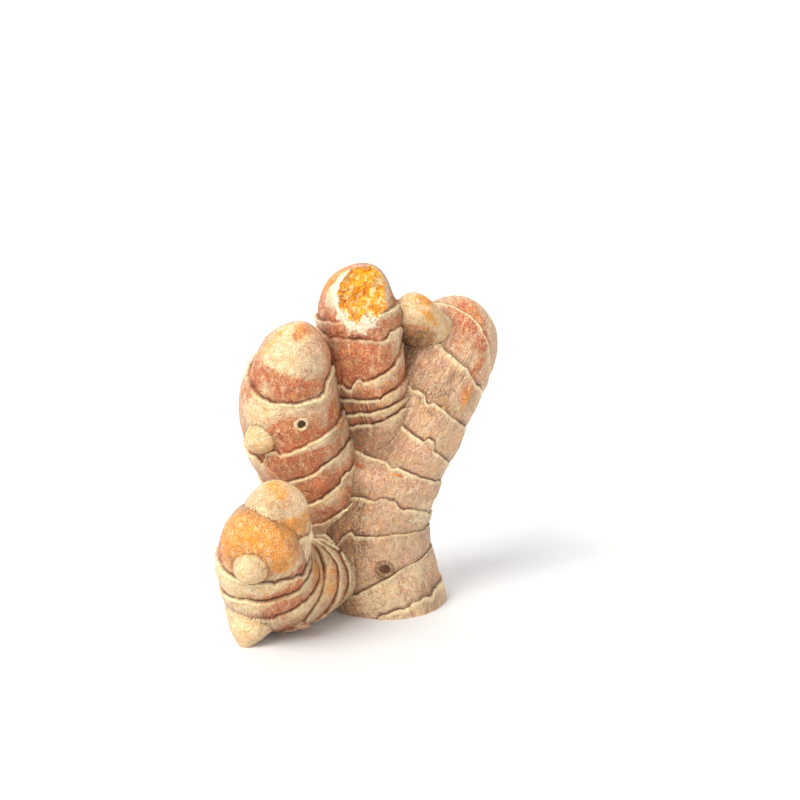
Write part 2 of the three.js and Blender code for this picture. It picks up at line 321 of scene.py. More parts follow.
@dataclass
class Limb:
    """One finger, bulb or bud of the hand.

    Attributes:
        name: Plain name.
        age: The kind of skin.
        face: Where its angles are counted from.
        seed: Sets its own raggedness.
        tip: Length of the domed tip, in millimetres.
        spine: Points x, y, z and radius along its middle, in millimetres.
        edges: Edges of its scales: distance along the limb, lean to its face and to its right.
        base: Tone of the whole limb, from 0 to 1.
        patches: Stains on it.
        nubs: Bumps on it.
        tabs: Tabs in its edges.
        thin: Thickness of its section as a share of its width.
    """

    name: str
    age: Age
    face: Face
    seed: int
    tip: float
    spine: tuple[Point, ...]
    edges: tuple[Triple, ...] = ()
    base: dict[Tone, float] = field(default_factory=dict)
    patches: tuple[Patch, ...] = ()
    nubs: tuple[Nub, ...] = ()
    tabs: tuple[Tab, ...] = ()
    thin: float = 1.0

    def __post_init__(self) -> None:
        """Samples the spine's middle points, radii, distances and two directions across."""
        samples = spline(np.array(self.spine), SAMPLES)
        self.middle, self.radii = samples[:, :3], samples[:, 3]
        gaps = np.linalg.norm(np.diff(self.middle, axis=0), axis=1)
        self.reach = np.concatenate([[0], np.cumsum(gaps)])
        self.length = self.reach[-1]
        ahead = np.vstack([self.middle[1:], self.middle[-1:]])
        behind = np.vstack([self.middle[:1], self.middle[:-1]])
        along = ahead - behind
        along /= np.linalg.norm(along, axis=1, keepdims=True)
        face = np.array(self.face.value)
        front = face - (along @ face)[:, None] * along
        self.front = front / np.linalg.norm(front, axis=1, keepdims=True)
        self.right = np.cross(along, self.front)

    def track(self, table: np.ndarray, along: np.ndarray) -> np.ndarray:
        """The value of a sampled table at distances along the limb, by straight interpolation.

        Args:
            table: Values at the spine's samples, one or several for each.
            along: Distances along the limb.

        Returns:
            The values, with their own axis last where the table has several.
        """
        if table.ndim == 1:
            return np.interp(along, self.reach, table)
        return np.stack([np.interp(along, self.reach, column) for column in table.T], axis=-1)

    def dome(self, along: np.ndarray) -> np.ndarray:
        """Share of the radius left over the tip: a quarter ellipse, sqrt(1 - x^2)."""
        x = np.clip((along - (self.length - self.tip)) / self.tip, 0, 1)
        return np.sqrt(1 - x * x)

    def radius(self, along: np.ndarray) -> np.ndarray:
        """The limb's plain radius, closed over the tip."""
        return self.track(self.radii, along) * self.dome(along)

    def surface(self, along: np.ndarray, angle: np.ndarray, height: np.ndarray) -> np.ndarray:
        """Points on the skin.

        The middle of the limb plus the radius and height, out in the direction of the angle. The
        section is out of round by 3% twice and 2% three times round, turning slowly along the limb.

        Args:
            along: Distances along the limb.
            angle: Angles from the limb's face towards its right.
            height: Heights above the plain radius.

        Returns:
            Points in millimetres, with the coordinates last.
        """
        uneven = (
            1
            + 0.03 * np.cos(2 * angle + self.seed + 0.05 * along)
            + 0.02 * np.cos(3 * angle - self.seed + 0.09 * along)
        )
        out = (self.track(self.radii, along) + height) * self.dome(along) * uneven
        across = (out * np.cos(angle) * self.thin)[..., None] * self.track(self.front, along)
        aside = (out * np.sin(angle))[..., None] * self.track(self.right, along)
        return self.track(self.middle, along) + across + aside

    def flow(self, along: np.ndarray, angle: np.ndarray) -> np.ndarray:
        """The skin's place on the limb laid straight: its round section and its distance along.

        Patterns that follow these coordinates run along the limb and close round it without a seam.

        Args:
            along: Distances along the limb.
            angle: Angles round the limb.

        Returns:
            Coordinates in millimetres, with the three last.
        """
        round_about = self.radius(along)
        return np.stack([round_about * np.cos(angle), round_about * np.sin(angle), along], axis=-1)

    @staticmethod
    def circle(angle: np.ndarray, radius: float, level: float) -> np.ndarray:
        """Points of a level circle, for noise that closes round the limb."""
        around = (radius * np.cos(angle), radius * np.sin(angle))
        return np.stack([*around, np.full_like(angle, level)], axis=-1)

    def marks(self, angle: np.ndarray) -> np.ndarray:
        """Distances of the root, every scale edge and the tip, a row each, at every angle.

        An edge leans by a cosine and a sine of the angle, sways by waves of 2, 3 and 5 times round,
        is torn by fine noise and stands out at its tabs. It stays a little past the edge before it.

        Args:
            angle: Angles round the limb, one for each column.

        Returns:
            Distances along the limb, marks by angles.
        """
        relief = self.age.value
        rows = [np.zeros_like(angle)]
        for k, (along, forward, rightward) in enumerate(self.edges):
            w = self.seed * 1.7 + k * 2.3
            wave = 0.5 * np.sin(2 * angle + w) + 0.3 * np.sin(3 * angle + 1.9 * w)
            wave += 0.2 * np.sin(5 * angle + 3.1 * w)
            mark = along + forward * np.cos(angle) + rightward * np.sin(angle)
            mark = mark + relief.ragged * wave
            girth = float(self.track(self.radii, np.array(along)))
            ring = self.circle(angle, girth, 9.0 * k)
            tears = noise(ring, TEAR_SIZES[0], self.seed)
            tears = tears + 0.5 * noise(ring, TEAR_SIZES[1], self.seed + 40)
            notch = smoothstep(0.45, 0.75, noise(ring, NOTCH_SIZE, self.seed + 80))
            mark = mark + relief.torn * (0.6 * tears - 1.6 * notch)
            for tab in self.tabs:
                swing = (angle - math.radians(tab.turn) + math.pi) % (2 * math.pi) - math.pi
                share = np.abs(swing) / math.radians(tab.width) + 0.25 * tears
                mark = mark + (tab.edge == k) * tab.reach * smoothstep(1.0, 0.6, share)
            rows.append(np.maximum(mark, rows[-1] + NARROWEST_SCALE))
        rows.append(np.full_like(angle, self.length))
        return np.array(rows)

    def sheet(self) -> Sheet:
        """The skin's grid from root to tip.

        Within a scale the height is step * (share^1.2 - 1), plus a half sine of the bulge and a
        small lip at the edge. The tip's scale starts a step low and levels out as exp(-3 * share).

        Returns:
            The grid with its heights and masks, before the limb meets its neighbours.
        """
        relief = self.age.value
        columns = 4 * round(2 * math.pi * self.radii.max() / CELL / 4)
        angle = turns(columns)
        marks = self.marks(angle)
        last = len(self.edges)
        along, height, before, after = [], [], [], []
        for scale in range(last + 1):
            start = marks[scale] + (STEP_RUN if scale else 0)
            width = marks[scale + 1] - start
            count = max(4, math.ceil(float(width.max()) / CELL) + 1)
            share = np.linspace(0, 1, count)[:, None]
            ring = self.circle(angle, 2.0, 7.0 * scale)
            step = relief.step * (0.85 + 0.5 * noise(ring, 1.3, self.seed + 11))[None]
            if scale == last:
                share = share[:-1]
                way = 1 - (1 - share) ** 2
                rise = -step * np.exp(-3 * share) * (1 if last else 0)
            else:
                way = share
                rise = step * (share**1.2 - 1) + relief.bulge * np.sin(math.pi * share)
            places = start + way * width
            to_edge = marks[scale + 1] - places if scale < last else np.full_like(places, FAR)
            rise = rise + 0.24 * relief.step * np.exp(-((to_edge / LIP_WIDTH) ** 2))
            along.append(places)
            height.append(np.broadcast_to(rise, places.shape))
            before.append(to_edge)
            after.append(places - marks[scale] if scale else np.full_like(places, FAR))
        sheet = Sheet(np.concatenate(along), angle, np.concatenate(height), {})
        self.roughen(sheet)
        self.paint(sheet, np.concatenate(before), np.concatenate(after))
        return sheet

    def roughen(self, sheet: Sheet) -> None:
        """Adds the lumps, the wrinkles along and round the limb, and the nubs to a sheet's heights.

        A nub is a soft hump, height * exp(-distance^2), with the distance in its own radii.

        Args:
            sheet: The sheet to change.
        """
        relief = self.age.value
        flow = self.flow(sheet.along, sheet.angle) + 31.7 * self.seed
        lumps = 0.55 * noise(flow, LUMP_SIZES[0]) + 0.3 * noise(flow, LUMP_SIZES[1], 3)
        folds = 0.5 - np.abs(noise(flow * (1, 1, 0.6), FOLD_SIZE, 9))
        lengthwise = noise(flow * (1, 1, WRINKLE_STRETCH), WRINKLE_SIZES[0], 5)
        crosswise = noise(flow * (WRINKLE_STRETCH, WRINKLE_STRETCH, 1), WRINKLE_SIZES[1], 7)
        wrinkles = lengthwise + 0.6 * crosswise
        sheet.height = sheet.height + relief.lumps * (lumps + 0.35 * folds)
        sheet.height = sheet.height + relief.wrinkles * wrinkles
        for nub in self.nubs:
            away = self.away(sheet, nub.along, nub.turn, nub.radius, nub.radius)
            sheet.height = sheet.height + nub.height * np.exp(-(away**2))

    def away(
        self, sheet: Sheet, along: float, turn: float, length: float, width: float
    ) -> np.ndarray:
        """Distance of a sheet's points from a place on the limb.

        Args:
            sheet: The sheet.
            along: Distance of the place along the limb.
            turn: Angle of the place round the limb, in degrees.
            length: The length that counts as 1 along the limb.
            width: The length that counts as 1 round it.

        Returns:
            A distance for every point.
        """
        swing = (sheet.angle - math.radians(turn) + math.pi) % (2 * math.pi) - math.pi
        across = swing * np.maximum(self.radius(sheet.along), 0.5) / width
        return np.hypot((sheet.along - along) / length, across)

    def paint(self, sheet: Sheet, before: np.ndarray, after: np.ndarray) -> None:
        """Fills a sheet's colour masks.

        The cream band fades as exp(-before / cream), the orange band as exp(-after / blush), and
        both are broken up by noise. Stains fall off as exp(-distance^4).

        Args:
            sheet: The sheet to paint.
            before: Distance to the next edge, in millimetres.
            after: Distance from the last edge.
        """
        relief = self.age.value
        flow = self.flow(sheet.along, sheet.angle) + 17.3 * self.seed
        blotch = 0.6 * noise(flow, BLOTCH_SIZES[0], 21) + 0.4 * noise(flow, BLOTCH_SIZES[1], 22)
        for tone in Tone:
            sheet.masks[tone.value] = np.full(sheet.along.shape, self.base.get(tone, 0.0))
        fade = np.clip(1 + 0.9 * noise(flow * (1, 1, 0.4), 4.0, 23), 0.1, 2)
        faint = np.clip(0.9 + 1.3 * noise(flow * (1, 1, 0.3), 5.0, 24), 0.1, 1)
        band = np.exp(-before / relief.cream)
        sheet.masks["pale"] += relief.bleach * band * fade
        sheet.masks["warm"] += relief.glow * np.exp(-after / relief.blush) * fade[::-1, ::-1]
        sheet.masks["warm"] *= 1 - 0.8 * band
        for patch in self.patches:
            distance = self.away(sheet, patch.along, patch.turn, patch.length, patch.width)
            strength = patch.amount * np.exp(-((distance * (1 + 0.35 * blotch)) ** 4))
            sheet.masks[patch.tone.value] += strength
            if patch.tone is Tone.PALE:
                sheet.masks["warm"] *= 1 - 0.8 * strength
            if patch.tone in (Tone.DULL, Tone.DARK):
                sheet.masks["pale"] *= 1 - 0.8 * strength
        for tone in Tone:
            sheet.masks[tone.value] = np.clip(sheet.masks[tone.value] * (1 + 0.5 * blotch), 0, 1)
        for nub in self.nubs:
            away = self.away(sheet, nub.along, nub.turn, nub.radius, nub.radius)
            cap = 0.8 * np.exp(-((1.2 * away) ** 4))
            sheet.masks["pale"] = np.maximum(sheet.masks["pale"], cap)
        sheet.masks["lip"] = relief.dry * faint * smoothstep(0.8, 0.1, before)
        # The dark line past an edge: the gap's own dark with painted shade under the overhanging
        # scale, deepened by the dark patches.
        split = np.clip(relief.split * fade + sheet.masks["dark"], 0, 1)
        sheet.masks["crack"] = split * smoothstep(1.1, 0.2, after)
        for name in ("crease_shade", "flesh", "rind", "pit"):
            sheet.masks[name] = np.zeros(sheet.along.shape)

    def depth(self, points: np.ndarray) -> np.ndarray:
        """How far points lie under the limb's plain skin.

        It is the greatest of the spine's radii less the distance to their middles.

        Args:
            points: Points in millimetres, one a row.

        Returns:
            Depths, less than 0 outside.
        """
        depths = np.full(len(points), -FAR)
        radii = self.radii * self.dome(self.reach)
        for middle, radius in zip(self.middle[::2], radii[::2]):
            depths = np.maximum(depths, radius - np.linalg.norm(points - middle, axis=1))
        return depths

    def seat(self, along: float, turn: float) -> tuple[np.ndarray, np.ndarray]:
        """The skin's place and outward direction at a mark.

        Args:
            along: Distance along the limb.
            turn: Angle round the limb, in degrees.

        Returns:
            The place in millimetres, and the direction.
        """
        angle = math.radians(turn)
        rise = -0.5 * self.age.value.step
        beside = np.array([angle, angle, angle + 0.05])
        spots = self.surface(np.array([along, along + 0.5, along]), beside, rise)
        out = np.cross(spots[2] - spots[0], spots[1] - spots[0])
        return spots[0], out / np.linalg.norm(out)


def new_piece(name: str, mesh: bpy.types.Mesh) -> Piece:
    """A new object, linked to the scene.

    Args:
        name: Its name.
        mesh: Its mesh.

    Returns:
        The object.
    """
    piece = bpy.data.objects.new(name, mesh)
    bpy.context.scene.collection.objects.link(piece)
    return piece


def store(mesh: bpy.types.Mesh, name: str, values: np.ndarray) -> None:
    """Keeps numbers, or vectors of three, on the points of a mesh.

    Args:
        mesh: The mesh.
        name: The attribute's name. One that is there already is overwritten.
        values: One number or one row for each point.
    """
    kind, key = ("FLOAT", "value") if values.ndim == 1 else ("FLOAT_VECTOR", "vector")
    attribute = mesh.attributes.get(name) or mesh.attributes.new(name, kind, "POINT")
    attribute.data.foreach_set(key, values.astype(np.float32).ravel())


def recall(mesh: bpy.types.Mesh, name: str, width: int = 1) -> np.ndarray:
    """Reads what store has kept.

    Args:
        mesh: The mesh.
        name: The attribute's name.
        width: Numbers for each point, 1 or 3.

    Returns:
        The values, one row for each point.
    """
    values = np.empty(width * len(mesh.vertices), np.float32)
    mesh.attributes[name].data.foreach_get("value" if width == 1 else "vector", values)
    return values.reshape(-1, width)


def closed_mesh(
    name: str, rings: np.ndarray, root: np.ndarray, end: np.ndarray, masks: dict, flow: np.ndarray
) -> Piece:
    """A closed mesh from a grid of rings, a root point and an end point.

    Quads join each ring to the next, and fans of triangles close the root and the end.

    Args:
        name: The object's name.
        rings: Points in millimetres, rings by columns by coordinates.
        root: The middle of the first ring.
        end: The point that closes the last ring.
        masks: Mask grids by name, or numbers that hold all over.
        flow: Laid-straight coordinates, of the rings' shape.

    Returns:
        The new object, linked to the scene.
    """
    rows, columns = rings.shape[:2]
    places = np.vstack([rings.reshape(-1, 3), root, end]) * MM
    index = np.arange(rows * columns).reshape(rows, columns)
    here, there = index[:-1], index[1:]
    quads = np.stack([here, np.roll(here, -1, 1), np.roll(there, -1, 1), there], axis=-1)
    first, final = index[0], index[-1]
    bottom = np.stack([np.full(columns, rows * columns), np.roll(first, -1), first], axis=-1)
    top = np.stack([final, np.roll(final, -1), np.full(columns, rows * columns + 1)], axis=-1)
    mesh = bpy.data.meshes.new(name)
    faces = quads.reshape(-1, 4).tolist() + bottom.tolist() + top.tolist()
    mesh.from_pydata(places.tolist(), [], faces)
    spread = {key: np.broadcast_to(value, (rows, columns)) for key, value in masks.items()}
    for key, grid in {**spread, "own": np.ones((rows, columns))}.items():
        store(mesh, key, np.concatenate([grid.ravel(), [grid[0].mean(), grid[-1].mean()]]))
    ends = [flow[0].mean(axis=0), flow[-1].mean(axis=0)]
    store(mesh, "flow", np.vstack([flow.reshape(-1, 3), *ends]))
    return new_piece(name, mesh)


def ball_rings(radius: float, rings: int, columns: int) -> tuple[np.ndarray, ...]:
    """A ball's points in level rings from its bottom to its top.

    Args:
        radius: The ball's radius.
        rings: How many rings.
        columns: How many points a ring.

    Returns:
        The rings, the bottom pole and the top pole.
    """
    polar = np.linspace(math.pi, 0, rings + 2)[1:-1, None]
    turn = turns(columns)[None]
    level = np.cos(polar) * np.ones_like(turn)
    reach = np.sin(polar)
    points = radius * np.stack([reach * np.cos(turn), reach * np.sin(turn), level], axis=-1)
    return points, np.array([0, 0, -radius]), np.array([0, 0, radius])


def turned(points: np.ndarray, at: np.ndarray, out: np.ndarray) -> np.ndarray:
    """Points turned and moved to a place.

    Args:
        points: Points round the origin.
        at: Where the origin goes.
        out: Where their Z axis points.

    Returns:
        The moved points.
    """
    turn = np.array(Vector((0, 0, 1)).rotation_difference(Vector(out)).to_matrix())
    return points @ turn.T + at


@dataclass(frozen=True)
class Scar:
    """The mark of a lost root: a raised oval rim round a pit, in millimetres and degrees.

    Attributes:
        limb: Name of its limb.
        along: Distance along the limb.
        turn: Angle round the limb.
        radius: Radius of the rim's middle line.
        rim: Radius of the rim's own section.
        stretch: Width as a share of height.
        shade: How dark the rim is, from 0 to 1.
    """

    limb: str
    along: float
    turn: float
    radius: float
    rim: float
    stretch: float
    shade: float

    def rim_mesh(self, at: np.ndarray, out: np.ndarray) -> Piece:
        """The rim: a closed torus whose section swells by 15% three times and 8% seven times round.

        Args:
            at: The scar's middle on the skin.
            out: Outward from the skin.

        Returns:
            The rim's object.
        """
        rows, columns = RIM_GRID
        around, section = turns(rows)[:, None], turns(columns)[None]
        girth = self.rim * (1 + 0.15 * np.sin(3 * around + self.turn) + 0.08 * np.sin(7 * around))
        reach = self.radius + girth * np.cos(section)
        rise = girth * np.sin(section)
        aside = self.stretch * reach * np.cos(around)
        points = np.stack([aside, reach * np.sin(around), rise], axis=-1)
        index = np.arange(rows * columns).reshape(rows, columns)
        beyond = np.roll(index, -1, 0)
        quads = np.stack([index, beyond, np.roll(beyond, -1, 1), np.roll(index, -1, 1)], axis=-1)
        places = turned(points.reshape(-1, 3), at, out)
        mesh = bpy.data.meshes.new("scar_rim")
        mesh.from_pydata((places * MM).tolist(), [], quads.reshape(-1, 4).tolist())
        values = {name: 0.0 for name in MASKS}
        values |= {"pale": 1.0 - self.shade, "dull": self.shade, "own": 1.0}
        for key, value in values.items():
            store(mesh, key, np.full(len(places), value))
        store(mesh, "flow", places)
        return new_piece("scar_rim", mesh)

    def pit_mesh(self, at: np.ndarray, out: np.ndarray) -> Piece:
        """The pit: a flattened ball that is cut from the skin.

        Args:
            at: The scar's middle on the skin.
            out: Outward from the skin.

        Returns:
            The ball's object.
        """
        width = self.radius - 0.4 * self.rim
        points, low, high = ball_rings(width, *PIT_GRID)
        squash = np.array([self.stretch, 1.0, 0.7 / width])
        masks = {name: 0.0 for name in MASKS} | {"pit": 1.0, "dull": 1.0}
        rings = turned(points * squash, at, out)
        ends = [turned(pole * squash, at, out) for pole in (low, high)]
        return closed_mesh("scar_pit", rings, *ends, masks, rings)


@dataclass(frozen=True)
class Break:
    """The torn face that opens the middle finger, in millimetres and degrees.

    Attributes:
        limb: Name of the broken limb.
        along: Distance along the limb of the middle of the break.
        turn: Angle round the limb.
        radius: Radius of the ball that is bitten off.
        depth: How deep the bite goes.
        uneven: Height of its broad lumps.
        grain: Height of its fine grain.
        bare: Direction in which the white rind gives out.
        crumb: Place of a crumb of rind on the flesh, from the middle of the break.
    """

    limb: str
    along: float
    turn: float
    radius: float
    depth: float
    uneven: float
    grain: float
    bare: Triple
    crumb: Triple

    def cutter(self, at: np.ndarray, out: np.ndarray) -> Piece:
        """The ball that bites the face: its radius waves by three broad sines and by fine noise.

        Args:
            at: The middle of the break on the whole skin.
            out: Outward from the skin.

        Returns:
            The ball's object.
        """
        points, low, high = ball_rings(self.radius, *BITE_GRID)
        middle = at + out * (self.radius - self.depth)

        def lumpy(ball: np.ndarray) -> np.ndarray:
            """Points of the plain ball moved out or in.

            Args:
                ball: The points, with the coordinates last.

            Returns:
                The moved points.
            """
            x, y, z = ball[..., 0], ball[..., 1], ball[..., 2]
            wave = np.sin(0.9 * x + 1.3 * z) + np.sin(1.1 * y - 0.7 * x + 2)
            wave = wave + np.sin(1.2 * z + 0.8 * y + 4)
            fine = 0.55 * noise(ball, 1.7, 61) + 0.45 * noise(ball, 0.8, 62)
            share = (self.uneven / 2 * wave + self.grain * fine) / self.radius
            return ball * (1 + share)[..., None]

        masks = {name: 0.0 for name in MASKS} | {"flesh": 1.0}
        rings = turned(lumpy(points), middle, out)
        ends = [turned(lumpy(pole), middle, out) for pole in (low, high)]
        return closed_mesh("bite", rings, *ends, masks, rings)


@dataclass
class Hand:
    """The whole hand of turmeric: its limbs, its scars and its break.

    Attributes:
        limbs: The limbs, the trunk first.
        scars: The marks of lost roots.
        broken: The torn face of the middle finger.
        fillet: Width of the soft fold where limbs meet, in millimetres.
        shade: Width of the painted shade in that fold.
    """

    limbs: tuple[Limb, ...]
    scars: tuple[Scar, ...]
    broken: Break
    fillet: float = 2.2
    shade: float = 3.4

    def named(self, name: str) -> Limb:
        """The limb of that name."""
        return next(limb for limb in self.limbs if limb.name == name)

    def torn_seat(self) -> tuple[np.ndarray, np.ndarray]:
        """The place and outward direction of the middle of the break."""
        return self.named(self.broken.limb).seat(self.broken.along, self.broken.turn)

    def bite_middle(self) -> np.ndarray:
        """The middle of the ball that bites the torn face."""
        at, out = self.torn_seat()
        return at + out * (self.broken.radius - self.broken.depth)

    def grow(self, limb: Limb) -> Piece:
        """One limb's mesh, swollen towards its neighbours.

        Near a neighbour whose skin is a gap g away, the skin rises by 0.15 * fillet * (1 - g /
        fillet)^2 and the crease mask, painted shade in the fold, is its fold strength * (1 - g /
        shade)^2.

        Args:
            limb: The limb to make.

        Returns:
            The limb's object.
        """
        sheet = limb.sheet()
        points = limb.surface(sheet.along, sheet.angle, sheet.height)
        near = np.full(points.shape[:2], -FAR)
        for other in self.limbs:
            if other is not limb:
                near = np.maximum(near, other.depth(points.reshape(-1, 3)).reshape(near.shape))
        gap = np.maximum(-near, 0)
        swell = 0.15 * self.fillet * np.clip(1 - gap / self.fillet, 0, 1) ** 2
        # Painted shade in the fold where limbs meet, darkest where they touch.
        sheet.masks["crease_shade"] = limb.age.value.fold_shade_and_marks * np.clip(1 - gap / self.shade, 0, 1) ** 2
        points = limb.surface(sheet.along, sheet.angle, sheet.height + swell)
        end = limb.surface(np.array(limb.length), np.array(0.0), np.array(0.0))
        flow = limb.flow(sheet.along, sheet.angle) + 31.7 * limb.seed
        return closed_mesh(limb.name, points, limb.middle[0], end, sheet.masks, flow)

    def build(self) -> Piece:
        """Breaks the finger open, joins the limbs and rims, and cuts the pits and the flat base.

        Returns:
            The finished object, without a material.
        """
        pieces = {limb.name: self.grow(limb) for limb in self.limbs}
        self.combine(pieces[self.broken.limb], self.broken.cutter(*self.torn_seat()), "DIFFERENCE")
        hand, *others = pieces.values()
        for piece in others:
            self.combine(hand, piece, "UNION")
        for scar in self.scars:
            at, out = self.named(scar.limb).seat(scar.along, scar.turn)
            self.combine(hand, scar.rim_mesh(at, out), "UNION")
            self.combine(hand, scar.pit_mesh(at, out), "DIFFERENCE")
        self.combine(hand, self.ground(), "DIFFERENCE")
        self.mend(hand.data)
        hand.name = hand.data.name = "turmeric_hand"
        log.info("%s: %d faces", hand.name, len(hand.data.polygons))
        return hand

    @staticmethod
    def ground() -> Piece:
        """A block below the surface that the hand stands on.

        Returns:
            The block's object.
        """
        corners = [(x, y, z) for z in (-0.05, 0) for y in (-0.1, 0.1) for x in (-0.1, 0.1)]
        faces = [(0, 2, 3, 1), (4, 5, 7, 6), (0, 1, 5, 4), (2, 6, 7, 3), (0, 4, 6, 2), (1, 3, 7, 5)]
        mesh = bpy.data.meshes.new("ground")
        mesh.from_pydata(corners, [], faces)
        return new_piece("ground", mesh)

    @staticmethod
    def combine(hand: Piece, piece: Piece, way: str) -> None:
        """Joins a piece to the hand or cuts it from it, and removes the piece.

        Args:
            hand: The object that changes.
            piece: The object that is used up.
            way: UNION or DIFFERENCE.
        """
        modifier = hand.modifiers.new("combine", "BOOLEAN")
        modifier.operation = way
        modifier.solver = "MANIFOLD"
        modifier.object = piece
        bpy.context.view_layer.update()
        seen = hand.evaluated_get(bpy.context.evaluated_depsgraph_get())
        mesh = bpy.data.meshes.new_from_object(seen)
        old = hand.data
        hand.modifiers.clear()
        hand.data = mesh
        bpy.data.meshes.remove(old)
        leftover = piece.data
        bpy.data.objects.remove(piece)
        bpy.data.meshes.remove(leftover)

    def mend(self, mesh: bpy.types.Mesh) -> None:
        """Gives the points made by joining and cutting the mean masks of their neighbours.

        Args:
            mesh: The joined mesh.
        """
        count = len(mesh.vertices)
        edges = np.empty(2 * len(mesh.edges), np.int32)
        mesh.edges.foreach_get("vertices", edges)
        one, two = edges.reshape(-1, 2).T
        places = np.empty(3 * count, np.float32)
        mesh.vertices.foreach_get("co", places)
        table = np.hstack([*(recall(mesh, name) for name in MASKS), recall(mesh, "flow", 3)])
        table = table.astype(float)
        known = recall(mesh, "own")[:, 0] > 0.99
        for _ in range(MEND_ROUNDS):
            if known.all():
                break
            total = np.zeros_like(table)
            weight = np.zeros(count)
            for source, target in ((one, two), (two, one)):
                useful = known[source] & ~known[target]
                np.add.at(total, target[useful], table[source[useful]])
                np.add.at(weight, target[useful], 1)
            found = weight > 0
            table[found] = total[found] / weight[found][:, None]
            known |= found
        flesh = table[:, MASKS.index("flesh")]
        table[:, MASKS.index("rind")] = self.rind(places.reshape(-1, 3) / MM, flesh)
        for name, column in zip(MASKS, table.T):
            store(mesh, name, column)
        store(mesh, "flow", table[:, -3:])
        mesh.attributes.remove(mesh.attributes["own"])
        mesh.shade_smooth()
        mesh.set_sharp_from_angle(angle=math.radians(SHARP_FROM))

    def rind(self, places: np.ndarray, flesh: np.ndarray) -> np.ndarray:
        """How much of the white rind shows.

        Over the torn face it falls off as exp(-depth / 0.7), with the depth below the finger's
        skin, and over the skin beside it as exp(-distance / 1.5). It gives out to the bare side,
        and a crumb of it lies on the flesh.

        Args:
            places: Points in millimetres, one a row.
            flesh: The flesh mask at those points.

        Returns:
            The rind mask.
        """
        depth = self.named(self.broken.limb).depth(places)
        beyond = np.linalg.norm(places - self.bite_middle(), axis=1) - self.broken.radius
        at, out = self.torn_seat()
        offset = places - (at - self.broken.depth * out)
        side = smoothstep(4.5, -2.5, offset @ np.array(self.broken.bare))
        inside = np.exp(-np.maximum(depth, 0) / 0.7) * (0.25 + 0.75 * side)
        outside = np.exp(-np.maximum(beyond, 0) / 1.5) * (depth > -1.5) * side
        away = np.linalg.norm(offset - np.array(self.broken.crumb), axis=1)
        crumb = 0.75 * np.exp(-((away / 1.1) ** 4))
        return np.where(flesh > 0.2, np.maximum(inside, crumb), outside)


TRUNK = Limb(
    name="trunk", age=Age.OLD, face=Face.FRONT, seed=1, tip=12,
    spine=(
        (0, 0, -ROOT_DEPTH, 13.5), (0, 0, 0.5, 13.5), (-3.5, 0, 11, 13.5), (-4.25, 0, 22, 13.75),
        (0, 0.5, 34, 12.75), (6.5, 2.5, 45.5, 12.25), (11.5, 6.5, 55, 12), (15, 15, 60.5, 10.75),
        (16, 24, 63.5, 8),
    ),
    edges=(
        (7.5, -0.5, 0), (13.5, 1.5, 2), (25, 1.5, 0), (31.5, 3, 2), (42, 1, 0.5), (50, 0.5, -2),
        (58, 0.5, -2), (66, 0, -2), (74, -1, -4.5), (79, 1, -3),
    ),
    base={Tone.DULL: 0.15, Tone.PALE: 0.15},
    nubs=(Nub(23.3, -83, 1.3, 1.0),),
    tabs=(Tab(2, -20, 8, 1.2), Tab(3, 12, 14, 0.9), Tab(5, 24, 8, 1.3), Tab(6, -30, 14, -1.0)),
    patches=(
        # The dark patches at -22 to -50 degrees, between 24 and 44 along, are mostly painted shade
        # in the fold beside the left finger.
        Patch(Tone.DULL, 27, -32, 9, 7, 1.0), Patch(Tone.DARK, 44, -38, 3, 4, 0.5),
        Patch(Tone.DARK, 24, -50, 11, 5, 0.9), Patch(Tone.DARK, 34, -28, 4, 6, 0.7),
        Patch(Tone.DARK, 26, -22, 4, 6, 0.6), Patch(Tone.DARK, 15.5, -5, 2, 10, 0.5),
        Patch(Tone.DARK, 65, -58, 7, 2.5, 0.7), Patch(Tone.DARK, 8, 55, 2, 4, 0.5),
        Patch(Tone.DULL, 8, 45, 5, 8, 0.25), Patch(Tone.WARM, 47, -3, 4, 5, 0.25),
        Patch(Tone.WARM, 39, -15, 4, 4, 0.2), Patch(Tone.WARM, 40.2, -32, 0.8, 1.6, 0.7),
        Patch(Tone.GOLD, 41.4, 4, 0.5, 1.6, 0.6), Patch(Tone.WARM, 41.6, 10, 0.4, 1.4, 0.7),
        Patch(Tone.DULL, 64.6, -52, 5, 3.5, 0.9), Patch(Tone.WARM, 73.6, -8, 5, 6, 0.85),
        Patch(Tone.GOLD, 75, -2, 2.5, 3, 0.4), Patch(Tone.WARM, 70.5, 24, 2.5, 2, 0.8),
        Patch(Tone.WARM, 64.6, 36, 5, 1.8, 0.7), Patch(Tone.GOLD, 62, 38, 3, 1.2, 0.5),
        Patch(Tone.PALE, 33, 60, 6, 5, 0.4), Patch(Tone.DULL, 61, 5, 7, 10, 0.3),
        Patch(Tone.PALE, 12, 20, 5, 10, 0.5), Patch(Tone.DULL, 20, 180, 12, 14, 0.4),
        Patch(Tone.WARM, 60, 160, 8, 8, 0.35), Patch(Tone.PALE, 72, 170, 6, 8, 0.4),
    ),
)

